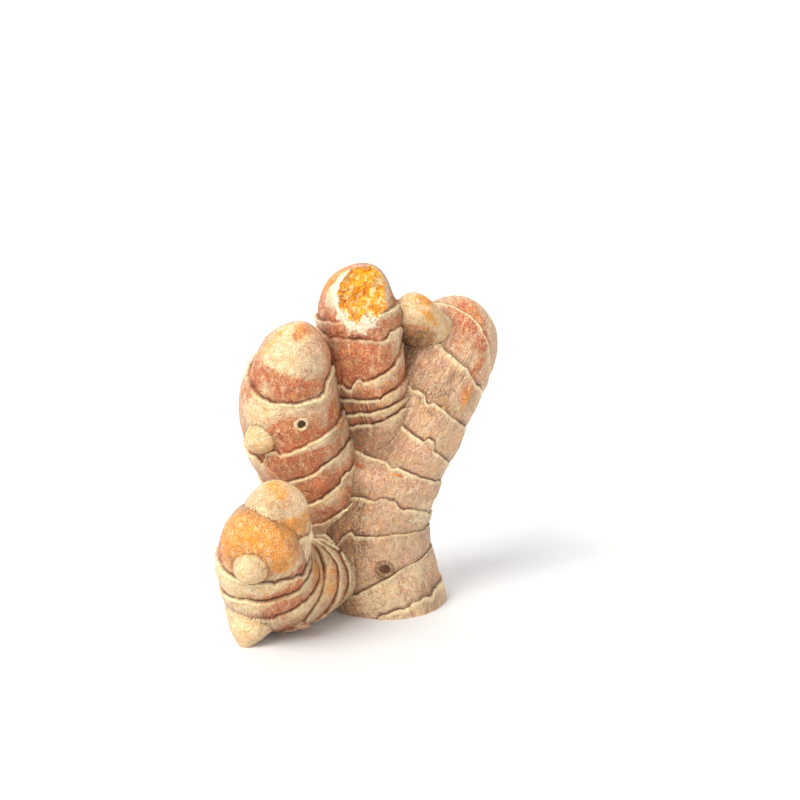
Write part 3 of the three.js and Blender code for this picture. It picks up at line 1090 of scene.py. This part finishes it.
LEFT_FINGER = Limb(
    name="left_finger", age=Age.YOUNG, face=Face.FRONT, seed=2, tip=10,
    spine=(
        (-5.5, -1, 14, 8.5), (-10, -2, 23.5, 9.25), (-17.5, -5.5, 34, 11.25), (-22, -9, 46.5, 12),
        (-22, -13, 57.5, 10.25), (-20, -18, 66.5, 8.25), (-19, -20, 72, 7.5),
    ),
    edges=((15.5, 0, 0), (22, 0, 0), (28.5, 0, 1), (37, 0, 2.5), (51.5, -1, 1.5)),
    base={Tone.WARM: 0.22, Tone.PALE: 0.25},
    nubs=(Nub(25, 9, 1.5, 0.8),),
    tabs=(Tab(3, -26, 9, 1.7), Tab(3, -44, 5, -1.2), Tab(4, 78, 24, 3.2), Tab(1, 40, 8, 1.0)),
    patches=(
        # The pale patch on the upper left of the tip is partly the tip's cream skin and partly a
        # painted highlight.
        Patch(Tone.PALE, 62, -45, 6, 5.5, 0.9), Patch(Tone.PALE, 60.5, 14, 2.6, 6, 0.5),
        Patch(Tone.DULL, 61, 22, 3, 5, 0.4), Patch(Tone.GOLD, 67.5, -10, 1.0, 3.5, 0.6),
        Patch(Tone.WARM, 66, 22, 0.8, 2.2, 0.7), Patch(Tone.WARM, 64.8, -14, 0.9, 1.6, 0.7),
        Patch(Tone.GOLD, 65.5, 8, 1.4, 2.4, 0.5), Patch(Tone.DARK, 66.6, 6, 0.5, 2.2, 0.4),
        Patch(Tone.WARM, 55.6, 2, 2.6, 9, 0.7), Patch(Tone.WARM, 50, -62, 5, 3, 0.6),
        Patch(Tone.WARM, 41.5, 2, 4.5, 7, 0.85), Patch(Tone.PALE, 46.5, -38, 6, 5, 0.7),
        Patch(Tone.WARM, 42, 66, 6, 2.5, 0.9), Patch(Tone.GOLD, 43, 70, 4, 1.2, 0.6),
        Patch(Tone.WARM, 34, -20, 3, 5, 0.6), Patch(Tone.WARM, 26, 0, 4, 6, 0.6),
        Patch(Tone.WARM, 33.5, 10, 2.5, 7, 0.6), Patch(Tone.GOLD, 60, -75, 5, 2, 0.6),
        Patch(Tone.DARK, 58, 74, 3.5, 0.8, 0.6), Patch(Tone.DARK, 25, 30, 6, 3, 0.5),
        Patch(Tone.DARK, 34, 52, 5, 2, 0.5), Patch(Tone.WARM, 60, 160, 6, 9, 0.4),
        Patch(Tone.PALE, 45, 170, 5, 9, 0.5),
    ),
)

MIDDLE_FINGER = Limb(
    name="middle_finger", age=Age.YOUNG, face=Face.FRONT, seed=3, tip=11,
    spine=(
        (-1.5, -2, 40, 8.75), (-5, -3.5, 53.5, 9.5), (-6.5, -5, 66, 9.75), (-6.25, -6, 74.5, 9.25),
        (-3.25, -7, 82.5, 7),
    ),
    edges=(
        (8, 0, 0), (12, -1.5, -0.5), (15.5, -1.5, 0), (20.5, -2, 1.5), (28, 0.5, -0.5),
        (33.5, 0.5, 3),
    ),
    base={Tone.WARM: 0.45, Tone.DULL: 0.12},
    nubs=(Nub(24, 165, 1.5, 0.8),),
    tabs=(Tab(3, -8, 9, 1.2), Tab(4, 60, 20, 1.8), Tab(5, 12, 10, -0.9)),
    patches=(
        Patch(Tone.PALE, 38, -62, 5, 4.5, 0.9), Patch(Tone.WARM, 36, -95, 5, 3.5, 0.9),
        Patch(Tone.GOLD, 38, -90, 4, 3, 0.7), Patch(Tone.WARM, 31, 5, 2.6, 8, 0.5),
        Patch(Tone.WARM, 25, 0, 4, 9, 0.4), Patch(Tone.DULL, 25, 0, 4, 9, 0.55),
        Patch(Tone.WARM, 21, -25, 2.5, 5, 0.6), Patch(Tone.PALE, 40, 45, 5, 3, 0.7),
        Patch(Tone.PALE, 25.5, 58, 5, 2.6, 0.6), Patch(Tone.PALE, 10, 22, 4, 5, 0.45),
        Patch(Tone.DULL, 8, -34, 6, 4, 0.9), Patch(Tone.DULL, 14, -45, 3, 4, 0.7),
        # The dark patches at 12.5 and 7 along are painted shade in the fold against the trunk.
        Patch(Tone.DARK, 12.5, -20, 3.2, 6, 1.0), Patch(Tone.DARK, 7, -22, 5, 6, 0.9),
        Patch(Tone.DARK, 26, -62, 9, 2, 0.6),
    ),
)

LOW_FINGER = Limb(
    name="low_finger", age=Age.YOUNG, face=Face.TOP, seed=4, tip=7,
    spine=(
        (-9, -2, 8, 6.5), (-14, -9, 10, 7.75), (-19.5, -16, 10.5, 9.75), (-24.5, -21.5, 12, 11.25),
        (-27.5, -27, 16.5, 11.25), (-28.5, -32, 22.5, 10.5), (-28, -36, 28.5, 9),
        (-27.5, -38.5, 33, 8),
    ),
    edges=(
        (11, 0, 0), (15.5, -2, -0.5), (20, -4, -2), (25.5, -5.5, -2), (33, -4, -1), (39, -4, 1.5),
    ),
    base={Tone.PALE: 0.32, Tone.WARM: 0.15},
    patches=(
        Patch(Tone.GOLD, 51, 108, 7, 7, 0.95), Patch(Tone.GOLD, 46.5, 145, 3.5, 6, 0.75),
        Patch(Tone.GOLD, 48, -150, 4, 6, 0.85), Patch(Tone.WARM, 45, 112, 3, 6, 0.5),
        Patch(Tone.GOLD, 52, -135, 2.5, 5, 0.7), Patch(Tone.WARM, 50, -120, 3, 3, 0.6),
        Patch(Tone.PALE, 42.5, 170, 3.5, 12, 0.8), Patch(Tone.WARM, 33.8, -142, 3.5, 4.5, 0.9),
        Patch(Tone.WARM, 40, -125, 2.5, 3, 0.7), Patch(Tone.PALE, 36.5, 155, 4, 7, 0.5),
        Patch(Tone.PALE, 26, -85, 6, 4, 0.3), Patch(Tone.DULL, 11, -70, 3, 6, 0.3),
        Patch(Tone.GOLD, 24, -80, 10, 6, 0.5), Patch(Tone.WARM, 45, 0, 6, 5, 0.3),
        Patch(Tone.DARK, 13, -80, 4, 4, 0.4), Patch(Tone.DARK, 46, 160, 2, 8, 0.5),
        Patch(Tone.WARM, 30, -70, 6, 5, 0.4),
    ),
)

BULB = Limb(
    name="bulb", age=Age.BUD, face=Face.FRONT, seed=5, tip=7,
    spine=(
        (-25.5, -28, 19.5, 7.5), (-25, -30, 27, 8), (-25, -31.5, 33.5, 7.5),
        (-25.5, -32.5, 39, 6.25),
    ),
    edges=((10.5, -0.5, -1),),
    base={Tone.PALE: 0.85, Tone.GOLD: 0.2},
    nubs=(Nub(8, 72, 1.0, 0.8),),
    patches=(
        Patch(Tone.GOLD, 12.5, 25, 2.0, 8, 0.8), Patch(Tone.WARM, 11, 20, 1.2, 7, 0.5),
        Patch(Tone.PALE, 15, -40, 7, 4.5, 1.0), Patch(Tone.WARM, 18, 48, 3, 3, 0.35),
        Patch(Tone.GOLD, 20, 25, 2.5, 3.5, 0.35), Patch(Tone.DULL, 16.5, 8, 3, 3.5, 0.45),
    ),
)

CONE_BUD = Limb(
    name="cone_bud", age=Age.BUD, face=Face.FRONT, seed=6, tip=4,
    spine=(
        (-27.5, -22, 12, 8.75), (-30, -26.5, 7.5, 7.5), (-31.5, -30, 3.5, 4.75),
        (-32.5, -32, -0.4, 2),
    ),
    edges=((5.5, 0, 0),),
    base={Tone.PALE: 0.9, Tone.GOLD: 0.16},
    patches=(Patch(Tone.GOLD, 12, 10, 5, 2, 0.15), Patch(Tone.WARM, 8, 40, 3, 2, 0.3)),
)

LOW_BUD = Limb(
    name="low_bud", age=Age.BUD, face=Face.TOP, seed=7, tip=4,
    spine=((-29, -36, 22, 4), (-30.5, -43, 22.5, 3.5), (-31, -46, 23, 2.25)),
    base={Tone.PALE: 0.95, Tone.GOLD: 0.3},
)

LEFT_BUD = Limb(
    name="left_bud", age=Age.BUD, face=Face.TOP, seed=8, tip=4,
    spine=((-26.5, -15, 45.5, 3.5), (-29.75, -19.5, 45, 3.25), (-31, -21.5, 45, 2)),
    base={Tone.PALE: 1.0, Tone.GOLD: 0.3},
)

TOP_BUD = Limb(
    name="top_bud", age=Age.BUD, face=Face.TOP, seed=9, tip=4,
    spine=((13, 8, 60, 5), (8.25, 2, 66, 5.5), (6.25, -4, 71.5, 4.25), (5, -7.5, 74.5, 2.75)),
    base={Tone.PALE: 0.95, Tone.GOLD: 0.3},
    patches=(
        Patch(Tone.GOLD, 20.5, -60, 2, 1.6, 0.6), Patch(Tone.GOLD, 18, -115, 3, 1.0, 0.4),
        # The dull patch at 13 along and the dark patch at 11.5, on the underside, are painted shade
        # under the bud.
        Patch(Tone.WARM, 17, 180, 2, 5, 0.5), Patch(Tone.DULL, 13, 175, 4, 6, 0.9),
        Patch(Tone.DARK, 11.5, 180, 3, 6, 0.3),
    ),
)

BACK_BUD = Limb(
    name="back_bud", age=Age.BUD, face=Face.TOP, seed=10, tip=4,
    spine=((2, 8, 24, 5.5), (3, 15, 29, 5), (3.5, 18, 34, 3)),
    edges=((7, 0.5, 0),),
    base={Tone.PALE: 0.45, Tone.WARM: 0.2},
)

FLAP = Limb(
    name="flap", age=Age.BUD, face=Face.TOP, seed=11, tip=1.2, thin=0.6,
    spine=((-23, -26, 7, 3), (-20, -27.5, 4.2, 2), (-17.5, -28.5, 3.6, 0.9)),
    base={Tone.WARM: 0.3, Tone.DULL: 0.3},
)

# The order in which the limbs are joined
LIMBS = (
    TRUNK, LEFT_FINGER, MIDDLE_FINGER, LOW_FINGER,
    BULB, CONE_BUD, LOW_BUD, LEFT_BUD, TOP_BUD, BACK_BUD, FLAP,
)

SCARS = (
    Scar("trunk", 18.1, 13, 1.35, 0.5, 1.35, 0.8),
    Scar("left_finger", 44.5, 17, 1.3, 0.5, 1.0, 0.0),
    Scar("trunk", 49, 150, 1.3, 0.5, 1.0, 0.3),
    Scar("left_finger", 40, -150, 1.3, 0.5, 1.0, 0.3),
)

TORN_FACE = Break("middle_finger", 39, -8, 18, 3.0, 1.1, 1.1, (0.9, 0.0, 0.45), (1.0, 0.0, 0.2))


def linear(red: int, green: int, blue: int) -> Colour:
    """A colour as light amounts.

    Args:
        red: Red as the eye reads it, from 0 to 255.
        green: Green, the same way.
        blue: Blue, the same way.

    Returns:
        Red, green and blue as light from 0 to 1, and full cover.
    """

    def light(channel: int) -> float:
        """The light of a channel, by the standard curve of screens."""
        value = channel / 255
        return value / 12.92 if value <= 0.04045 else ((value + 0.055) / 1.055) ** 2.4

    return light(red), light(green), light(blue), 1.0


class NodeSheet:
    """A short hand for building one material's nodes."""

    def __init__(self, name: str) -> None:
        """Starts an empty material.

        Args:
            name: The material's name.
        """
        self.material = bpy.data.materials.new(name)
        self.material.use_nodes = True
        self.tree = self.material.node_tree
        self.tree.nodes.clear()

    def add(self, kind: str, **settings: object) -> bpy.types.Node:
        """A new node.

        Args:
            kind: Blender's name for it.
            **settings: Its properties.

        Returns:
            The node.
        """
        node = self.tree.nodes.new(kind)
        for key, value in settings.items():
            setattr(node, key, value)
        return node

    def feed(self, socket: Socket, value: Value) -> None:
        """Links an output to a socket, or sets the socket to a plain value.

        Args:
            socket: The input.
            value: The output or the value.
        """
        if isinstance(value, bpy.types.NodeSocket):
            self.tree.links.new(value, socket)
        else:
            socket.default_value = value

    def mask(self, name: str) -> Socket:
        """The value of a vertex mask."""
        return self.add("ShaderNodeAttribute", attribute_name=name).outputs["Fac"]

    def math(self, operation: str, *values: Value, clamp: bool = False) -> Socket:
        """The result of a sum on numbers or outputs.

        Args:
            operation: Blender's name for the sum.
            *values: What goes into it.
            clamp: Whether the result is kept between 0 and 1.

        Returns:
            The result.
        """
        node = self.add("ShaderNodeMath", operation=operation, use_clamp=clamp)
        for socket, value in zip(node.inputs, values):
            self.feed(socket, value)
        return node.outputs[0]

    def times(self, one: Value, two: Value) -> Socket:
        """Two values multiplied."""
        return self.math("MULTIPLY", one, two)

    def sway(self, base: Value, pattern: Socket, amount: float) -> Socket:
        """A value moved up and down by a pattern: base + amount * (pattern - 0.5)."""
        return self.math("MULTIPLY_ADD", self.math("SUBTRACT", pattern, 0.5), amount, base)

    def off_middle(self, pattern: Socket) -> Socket:
        """How far a pattern is from 0.5, either way."""
        return self.math("ABSOLUTE", self.math("SUBTRACT", pattern, 0.5))

    def rise(self, value: Value, low: float, high: float) -> Socket:
        """A smooth rise.

        Args:
            value: What it depends on.
            low: Where it is 0.
            high: Where it is 1.

        Returns:
            The rise.
        """
        node = self.add("ShaderNodeMapRange", interpolation_type="SMOOTHSTEP")
        self.feed(node.inputs["Value"], value)
        self.feed(node.inputs["From Min"], low)
        self.feed(node.inputs["From Max"], high)
        return node.outputs["Result"]

    def stretch(self, vector: Socket, x: float, y: float, z: float) -> Socket:
        """Coordinates scaled along each axis.

        Args:
            vector: The coordinates.
            x: The amount along X.
            y: The amount along Y.
            z: The amount along Z.

        Returns:
            The scaled coordinates.
        """
        node = self.add("ShaderNodeMapping")
        self.feed(node.inputs["Vector"], vector)
        node.inputs["Scale"].default_value = (x, y, z)
        return node.outputs["Vector"]

    def grain(
        self, vector: Socket, size: float, detail: float = 2, rough: float = 0.55, twist: float = 0
    ) -> Socket:
        """Noise.

        Args:
            vector: The coordinates it lies on.
            size: About how wide its blobs are, in the coordinates' own unit.
            detail: How many finer layers it has.
            rough: How strong they are.
            twist: How far it is warped.

        Returns:
            Its value, about 0.5 on average.
        """
        node = self.add("ShaderNodeTexNoise")
        self.feed(node.inputs["Vector"], vector)
        node.inputs["Scale"].default_value = 1 / size
        node.inputs["Detail"].default_value = detail
        node.inputs["Roughness"].default_value = rough
        node.inputs["Distortion"].default_value = twist
        return node.outputs["Fac"]

    def blend(self, share: Value, low: Value, high: Value, way: str = "MIX") -> Socket:
        """Two colours mixed.

        Args:
            share: How much of the second shows, from 0 to 1.
            low: The first colour.
            high: The second colour.
            way: Blender's name for the kind of mix.

        Returns:
            The mixed colour.
        """
        node = self.add("ShaderNodeMix", data_type="RGBA", blend_type=way, clamp_factor=True)
        self.feed(node.inputs["Factor"], share)
        self.feed(node.inputs[COLOUR_INPUTS[0]], low)
        self.feed(node.inputs[COLOUR_INPUTS[1]], high)
        return node.outputs[COLOUR_OUTPUT]

    def bump(
        self, height: Socket, strength: float, distance: float, normal: Optional[Socket] = None
    ) -> Socket:
        """A normal bent by a height.

        Args:
            height: The height, from 0 to 1.
            strength: How much of the bend shows.
            distance: How high 1 is, in millimetres.
            normal: The normal to bend, if not the surface's own.

        Returns:
            The bent normal.
        """
        node = self.add("ShaderNodeBump")
        node.inputs["Strength"].default_value = strength
        node.inputs["Distance"].default_value = distance * MM
        self.feed(node.inputs["Height"], height)
        if normal is not None:
            self.feed(node.inputs["Normal"], normal)
        return node.outputs["Normal"]

    def finish(
        self, colour: Socket, roughness: Value, normal: Socket, specular: float, sheen: float
    ) -> bpy.types.Material:
        """Closes the sheet with one shader.

        Args:
            colour: Its colour.
            roughness: Its roughness.
            normal: Its normal.
            specular: Strength of its shine.
            sheen: Strength of its dusty edge light.

        Returns:
            The finished material.
        """
        shader = self.add("ShaderNodeBsdfPrincipled")
        self.feed(shader.inputs["Base Color"], colour)
        self.feed(shader.inputs["Roughness"], roughness)
        self.feed(shader.inputs["Normal"], normal)
        shader.inputs["Specular IOR Level"].default_value = specular
        shader.inputs["Sheen Weight"].default_value = sheen
        output = self.add("ShaderNodeOutputMaterial")
        self.tree.links.new(shader.outputs["BSDF"], output.inputs["Surface"])
        return self.material


class SkinSheet(NodeSheet):
    """A sheet with the patterns that the skin's colour is mixed by.

    Attributes:
        straight: The laid-straight coordinates that they lie on.
        drift: Broad slow changes.
        speck: The finest specks.
        fleck: Small flecks.
        mottle: Blotches of a millimetre or two.
        fibre: Fibres along the limb.
        amber: Blotches of yellow-brown.
        winding: Winding lines, where it crosses 0.5.
        fine: The finest grain, which the relief and the roughness share.
    """

    def __init__(self, name: str) -> None:
        """Starts the material and draws the patterns.

        Args:
            name: The material's name.
        """
        super().__init__(name)
        flow = self.add("ShaderNodeAttribute", attribute_name="flow").outputs["Vector"]
        self.straight = flow
        self.drift = self.grain(flow, 5.0, 4.0)
        self.speck = self.grain(flow, 0.38, 2.0, 0.6)
        self.fleck = self.grain(flow, 0.9, 4.0, 0.75)
        self.mottle = self.grain(flow, 1.7, 5.0, 0.7, 0.4)
        self.fibre = self.grain(self.stretch(flow, 1.0, 1.0, 0.12), 0.5, 3.0, 0.65)
        self.amber = self.grain(flow, 2.3, 5.0, 0.65, 0.8)
        self.winding = self.grain(self.stretch(flow, 1.0, 1.0, 0.5), 2.6, 5.0, 0.6, 1.4)
        self.fine = self.grain(flow, 0.35, 3.0, 0.7)


@dataclass(frozen=True)
class TurmericSkin:
    """The finish of the hand: thin dry skin over orange flesh.

    Attributes:
        tan: The skin's ground colour.
        rose: The pinkish cast that drifts over it.
        pale: Young and papery skin.
        warm: The orange-brown blush past a scale's edge.
        russet: Red-brown blotches in the blush.
        gold: Bare yellow-orange skin on the young flank.
        straw: Yellow streaks in the pale skin.
        dull: Old grey-brown skin and dirt.
        lip: The dry edge of a scale, also used for the light specks, which are partly painted
            glints.
        vein: Thin orange veins in the pale skin.
        honey: Yellow-brown flecks.
        dusk: The shade of the darker blotches, which multiplies the colour under it.
        crack: The dark gap under an edge, with painted shade under the overhanging scale.
        dark_brown: Dark brown for the painted shade in folds, the dark patches and the pits.
        flesh: The torn flesh.
        deep: The deeper spots in the flesh.
        core: The pale fibres in the flesh.
        rind: The white layer between flesh and skin.
    """

    tan: Colour = linear(217, 180, 142)
    rose: Colour = linear(211, 163, 139)
    pale: Colour = linear(246, 220, 180)
    warm: Colour = linear(203, 104, 60)
    russet: Colour = linear(166, 78, 48)
    gold: Colour = linear(238, 150, 36)
    straw: Colour = linear(234, 184, 84)
    dull: Colour = linear(140, 102, 72)
    lip: Colour = linear(254, 232, 182)
    vein: Colour = linear(220, 136, 50)
    honey: Colour = linear(230, 172, 104)
    dusk: Colour = (0.78, 0.66, 0.52, 1.0)
    crack: Colour = linear(92, 50, 28)
    dark_brown: Colour = linear(122, 80, 50)
    flesh: Colour = linear(252, 172, 22)
    deep: Colour = linear(206, 104, 12)
    core: Colour = linear(252, 222, 160)
    rind: Colour = linear(255, 238, 205)

    def ground(self, sheet: SkinSheet) -> Socket:
        """The ground colour and the four tones of the masks, with their borders broken up.

        Args:
            sheet: The skin's sheet.

        Returns:
            The colour.
        """
        colour = sheet.blend(sheet.rise(sheet.drift, 0.35, 0.65), self.tan, self.rose)
        tones = {
            Tone.PALE: (self.pale, 1.5),
            Tone.DULL: (self.dull, 1.3),
            Tone.WARM: (self.warm, 1.7),
            Tone.GOLD: (self.gold, 1.2),
        }
        for tone, (stain, ragged) in tones.items():
            uneven = sheet.sway(sheet.mask(tone.value), sheet.fleck, 0.5)
            uneven = sheet.sway(uneven, sheet.mottle, ragged)
            colour = sheet.blend(sheet.rise(uneven, 0.18, 0.72), colour, stain)
        return colour

    def blotched(self, sheet: SkinSheet, colour: Socket) -> Socket:
        """Adds the red-brown, cream and yellow-brown blotches, their shade and the winding veins.

        Args:
            sheet: The skin's sheet.
            colour: The colour so far.

        Returns:
            The colour.
        """
        blotch = sheet.rise(sheet.grain(sheet.straight, 2.8, 5.0, 0.7, 0.5), 0.5, 0.64)
        blotch = sheet.times(blotch, sheet.rise(sheet.mask("warm"), 0.25, 0.7))
        colour = sheet.blend(sheet.times(blotch, 0.6), colour, self.russet)
        streak = sheet.grain(sheet.stretch(sheet.straight, 1.0, 1.0, 0.3), 1.4, 4.0, 0.65, 0.6)
        colour = sheet.blend(sheet.times(sheet.rise(streak, 0.54, 0.66), 0.5), colour, self.pale)
        yellow, bright = sheet.rise(sheet.amber, 0.52, 0.62), sheet.rise(sheet.amber, 0.45, 0.34)
        colour = sheet.blend(sheet.times(yellow, 0.4), colour, self.honey)
        colour = sheet.blend(sheet.times(bright, 0.35), colour, self.lip)
        shade = sheet.blend(sheet.rise(sheet.mottle, 0.3, 0.65), self.dusk, WHITE)
        colour = sheet.blend(0.6, colour, shade, "MULTIPLY")
        vein = sheet.rise(sheet.off_middle(sheet.winding), 0.035, 0.0)
        vein = sheet.times(vein, sheet.rise(sheet.drift, 0.4, 0.6))
        return sheet.blend(sheet.times(vein, 0.55), colour, self.vein)

    def flecked(self, sheet: SkinSheet, colour: Socket) -> Socket:
        """Adds the light specks, partly painted glints, the dark specks, the fibres, and the yellow
        streaks of the palest skin.

        Args:
            sheet: The skin's sheet.
            colour: The colour so far.

        Returns:
            The colour.
        """
        # Light specks: cream flecks of the skin that also stand in as painted glints on its fine
        # bumps.
        light = sheet.times(
            sheet.rise(sheet.speck, 0.5, 0.68), sheet.rise(sheet.drift, 0.25, 0.7)
        )
        plain = sheet.math("MULTIPLY_ADD", sheet.mask("pale"), -0.7, 1.0, clamp=True)
        dark = sheet.times(
            sheet.rise(sheet.speck, 0.46, 0.3), sheet.rise(sheet.mottle, 0.62, 0.4)
        )
        colour = sheet.blend(sheet.times(light, 0.62), colour, self.lip)
        colour = sheet.blend(sheet.times(sheet.times(dark, plain), 0.75), colour, self.dull)
        brown, bright = sheet.rise(sheet.fibre, 0.56, 0.72), sheet.rise(sheet.fibre, 0.44, 0.3)
        colour = sheet.blend(sheet.times(brown, 0.2), colour, self.dull)
        colour = sheet.blend(sheet.times(bright, 0.35), colour, self.lip)
        palest = sheet.rise(sheet.mask("pale"), 0.55, 0.95)
        straw = sheet.times(sheet.rise(sheet.fibre, 0.5, 0.62), palest)
        return sheet.blend(sheet.times(straw, 0.6), colour, self.straw)

    def edged(self, sheet: SkinSheet, colour: Socket) -> Socket:
        """Adds painted shade in the folds, the dark patches (partly painted shade), the dark gaps
        under the scales' edges with their painted shade, the dry lips, and the pits.

        Args:
            sheet: The skin's sheet.
            colour: The colour so far.

        Returns:
            The colour.
        """
        # Painted shade in the folds where limbs meet, streaked along the fibres.
        crease_shade = sheet.times(sheet.mask("crease_shade"), sheet.rise(sheet.fibre, 0.1, 0.75))
        colour = sheet.blend(sheet.times(crease_shade, 0.85), colour, self.dark_brown)
        # The dark patches: partly the skin's own dark marks, partly painted shade in folds and
        # under the buds.
        fold_shade_and_marks = sheet.times(sheet.mask("dark"), sheet.rise(sheet.fibre, 0.6, 0.4))
        colour = sheet.blend(fold_shade_and_marks, colour, self.dark_brown)
        # The dark line under a scale's edge: the gap's own dark with painted shade under the
        # overhang.
        gap = sheet.times(sheet.mask("crack"), sheet.rise(sheet.winding, 0.3, 0.46))
        colour = sheet.blend(gap, colour, self.crack)
        rim = sheet.times(sheet.mask("lip"), sheet.rise(sheet.fleck, 0.32, 0.46))
        colour = sheet.blend(sheet.times(rim, 0.9), colour, self.lip)
        return sheet.blend(sheet.times(sheet.mask("pit"), 0.7), colour, self.dark_brown)

    def opened(self, sheet: SkinSheet, colour: Socket) -> Socket:
        """Adds the torn flesh, with deep spots, pores and pale threads, and the ragged white rind.

        Args:
            sheet: The skin's sheet.
            colour: The colour so far.

        Returns:
            The colour.
        """
        spots = sheet.grain(sheet.straight, 1.1, 4.0, 0.7)
        pores = sheet.grain(sheet.straight, 0.9, 4.0, 0.75, 0.6)
        threads = sheet.grain(sheet.straight, 1.7, 4.0, 0.7, 0.8)
        flesh = sheet.blend(sheet.rise(spots, 0.54, 0.36), self.flesh, self.deep)
        flesh = sheet.blend(sheet.times(sheet.rise(pores, 0.44, 0.3), 0.85), flesh, self.crack)
        flesh = sheet.blend(sheet.times(sheet.rise(threads, 0.5, 0.6), 0.9), flesh, self.core)
        frayed = sheet.rise(sheet.sway(sheet.mask("flesh"), sheet.fleck, 0.5), 0.4, 0.6)
        colour = sheet.blend(frayed, colour, flesh)
        edge = sheet.sway(sheet.sway(sheet.mask("rind"), sheet.amber, 2.2), sheet.drift, 2.0)
        edge = sheet.times(sheet.rise(edge, 0.3, 0.6), sheet.rise(sheet.mask("rind"), 0.04, 0.3))
        return sheet.blend(sheet.times(edge, 0.9), colour, self.rind)

    def relief(self, sheet: SkinSheet) -> Socket:
        """The normal bent by wrinkles along and round the limb, by crinkles and by grain.

        Args:
            sheet: The skin's sheet.

        Returns:
            The normal.
        """
        flow = sheet.straight
        coarse = sheet.grain(flow, 1.2, 3.0, 0.6)
        wrinkle = sheet.grain(sheet.stretch(flow, 1.0, 1.0, 0.18), 0.8, 4.0, 0.6, 0.3)
        creases = sheet.grain(sheet.stretch(flow, 0.2, 0.2, 1.0), 1.0, 3.0, 0.6)
        crinkle = sheet.off_middle(sheet.grain(flow, 1.9, 4.0, 0.6, 0.8))
        normal = sheet.bump(wrinkle, 0.6, 0.2)
        normal = sheet.bump(creases, 0.5, 0.2, normal)
        normal = sheet.bump(crinkle, 0.9, 2.0, normal)
        normal = sheet.bump(coarse, 0.8, 0.8, normal)
        return sheet.bump(sheet.fine, 0.9, 0.22, normal)

    def build(self) -> bpy.types.Material:
        """Mixes the colour from the ground up, and adds the fine relief and an uneven roughness.

        Returns:
            The material.
        """
        sheet = SkinSheet("turmeric_skin")
        colour = self.ground(sheet)
        for layer in (self.blotched, self.flecked, self.edged, self.opened):
            colour = layer(sheet, colour)
        roughness = sheet.math("MULTIPLY_ADD", sheet.fine, 0.3, 0.33, clamp=True)
        return sheet.finish(colour, roughness, self.relief(sheet), SHINE, DUST)


@dataclass
class Studio:
    """The pale floor, the soft lights and the camera.

    Attributes:
        elevation: How far the camera looks down, in degrees.
        distance: From the camera to the hand's base, in millimetres.
        scale: Millimetres to a pixel of the picture, at the hand's base.
        base_px: The pixel where the middle of the base lies.
        width_px: Width and height of the picture in pixels.
        sensor: Width of the sensor, in millimetres.
    """

    elevation: float = 16.0
    distance: float = 800.0
    scale: float = 0.235
    base_px: tuple[float, float] = (388.0, 600.0)
    width_px: float = 800.0
    sensor: float = 36.0

    def camera(self) -> None:
        """Places the camera so that the middle of the base falls on its pixel."""
        tilt = math.radians(self.elevation)
        forward = Vector((0, math.cos(tilt), -math.sin(tilt)))
        up = Vector((0, math.sin(tilt), math.cos(tilt)))
        aside = (self.base_px[0] - self.width_px / 2) * self.scale
        below = (self.base_px[1] - self.width_px / 2) * self.scale
        place = -(forward * self.distance + Vector((aside, 0, 0)) - up * below)
        data = bpy.data.cameras.new("camera")
        data.sensor_width = self.sensor
        data.lens = self.sensor * self.distance / self.scale / self.width_px
        data.clip_start, data.clip_end = 0.01, 20
        camera = bpy.data.objects.new("camera", data)
        camera.location = place * MM
        camera.rotation_euler = Euler((math.pi / 2 - tilt, 0, 0))
        bpy.context.scene.collection.objects.link(camera)
        bpy.context.scene.camera = camera

    def floor(self) -> None:
        """A wide pale floor, level with the hand's base, 4 metres out to each side."""
        half = 4.0
        mesh = bpy.data.meshes.new("floor")
        corners = [(-half, -half, 0), (half, -half, 0), (half, half, 0), (-half, half, 0)]
        mesh.from_pydata(corners, [], [(0, 1, 2, 3)])
        floor = new_piece("floor", mesh)
        sheet = NodeSheet("floor_paper")
        texture = sheet.add("ShaderNodeTexCoord").outputs["Object"]
        tooth = sheet.grain(texture, 0.004, 2.0)
        colour = sheet.blend(tooth, (0.70, 0.70, 0.70, 1.0), (0.73, 0.73, 0.73, 1.0))
        mesh.materials.append(sheet.finish(colour, 0.8, sheet.bump(tooth, 0.05, 0.1), 0.1, 0.0))

    def lamp(
        self, name: str, direction: Triple, softness: float, power: float, tint: Triple = (1, 1, 1)
    ) -> None:
        """A far lamp with a soft edge.

        Args:
            name: Plain name.
            direction: The way to the lamp, from the hand.
            softness: How wide the lamp looks from the hand, in degrees.
            power: Its power, in watts a square metre.
            tint: Its colour.
        """
        data = bpy.data.lights.new(name, "SUN")
        data.angle, data.energy, data.color = math.radians(softness), power, tint
        lamp = bpy.data.objects.new(name, data)
        lamp.location = direction
        lamp.rotation_euler = Vector(direction).to_track_quat("Z", "Y").to_euler()
        bpy.context.scene.collection.objects.link(lamp)

    def lights(self) -> None:
        """A soft key from the upper left, a weak fill and back light, and a white surround."""
        self.lamp("key", (-0.65, -0.7, 0.95), 38.0, 3.6, (1.0, 0.99, 0.97))
        self.lamp("fill", (0.75, -0.9, 0.3), 60.0, 0.8)
        self.lamp("back", (-0.3, 0.6, 0.9), 40.0, 1.2)
        world = bpy.data.worlds.new("surround")
        world.use_nodes = True
        surround = world.node_tree.nodes["Background"]
        surround.inputs["Color"].default_value = WHITE
        surround.inputs["Strength"].default_value = 0.6
        bpy.context.scene.world = world
        bpy.context.scene.view_settings.view_transform = "Standard"

    def build(self) -> None:
        """Sets up the whole studio."""
        self.camera()
        self.floor()
        self.lights()


def main() -> None:
    """Builds the studio and the hand, logs the hand's face count, gives it its skin and sets it in
    place of the imported part.
    """
    Studio().build()
    hand = Hand(LIMBS, SCARS, TORN_FACE).build()
    hand.data.materials.clear()
    hand.data.materials.append(TurmericSkin().build())
    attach(hand, "root")
    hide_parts(NODE)


if __name__ == "__main__":
    logging.basicConfig(level=logging.INFO)
    main()
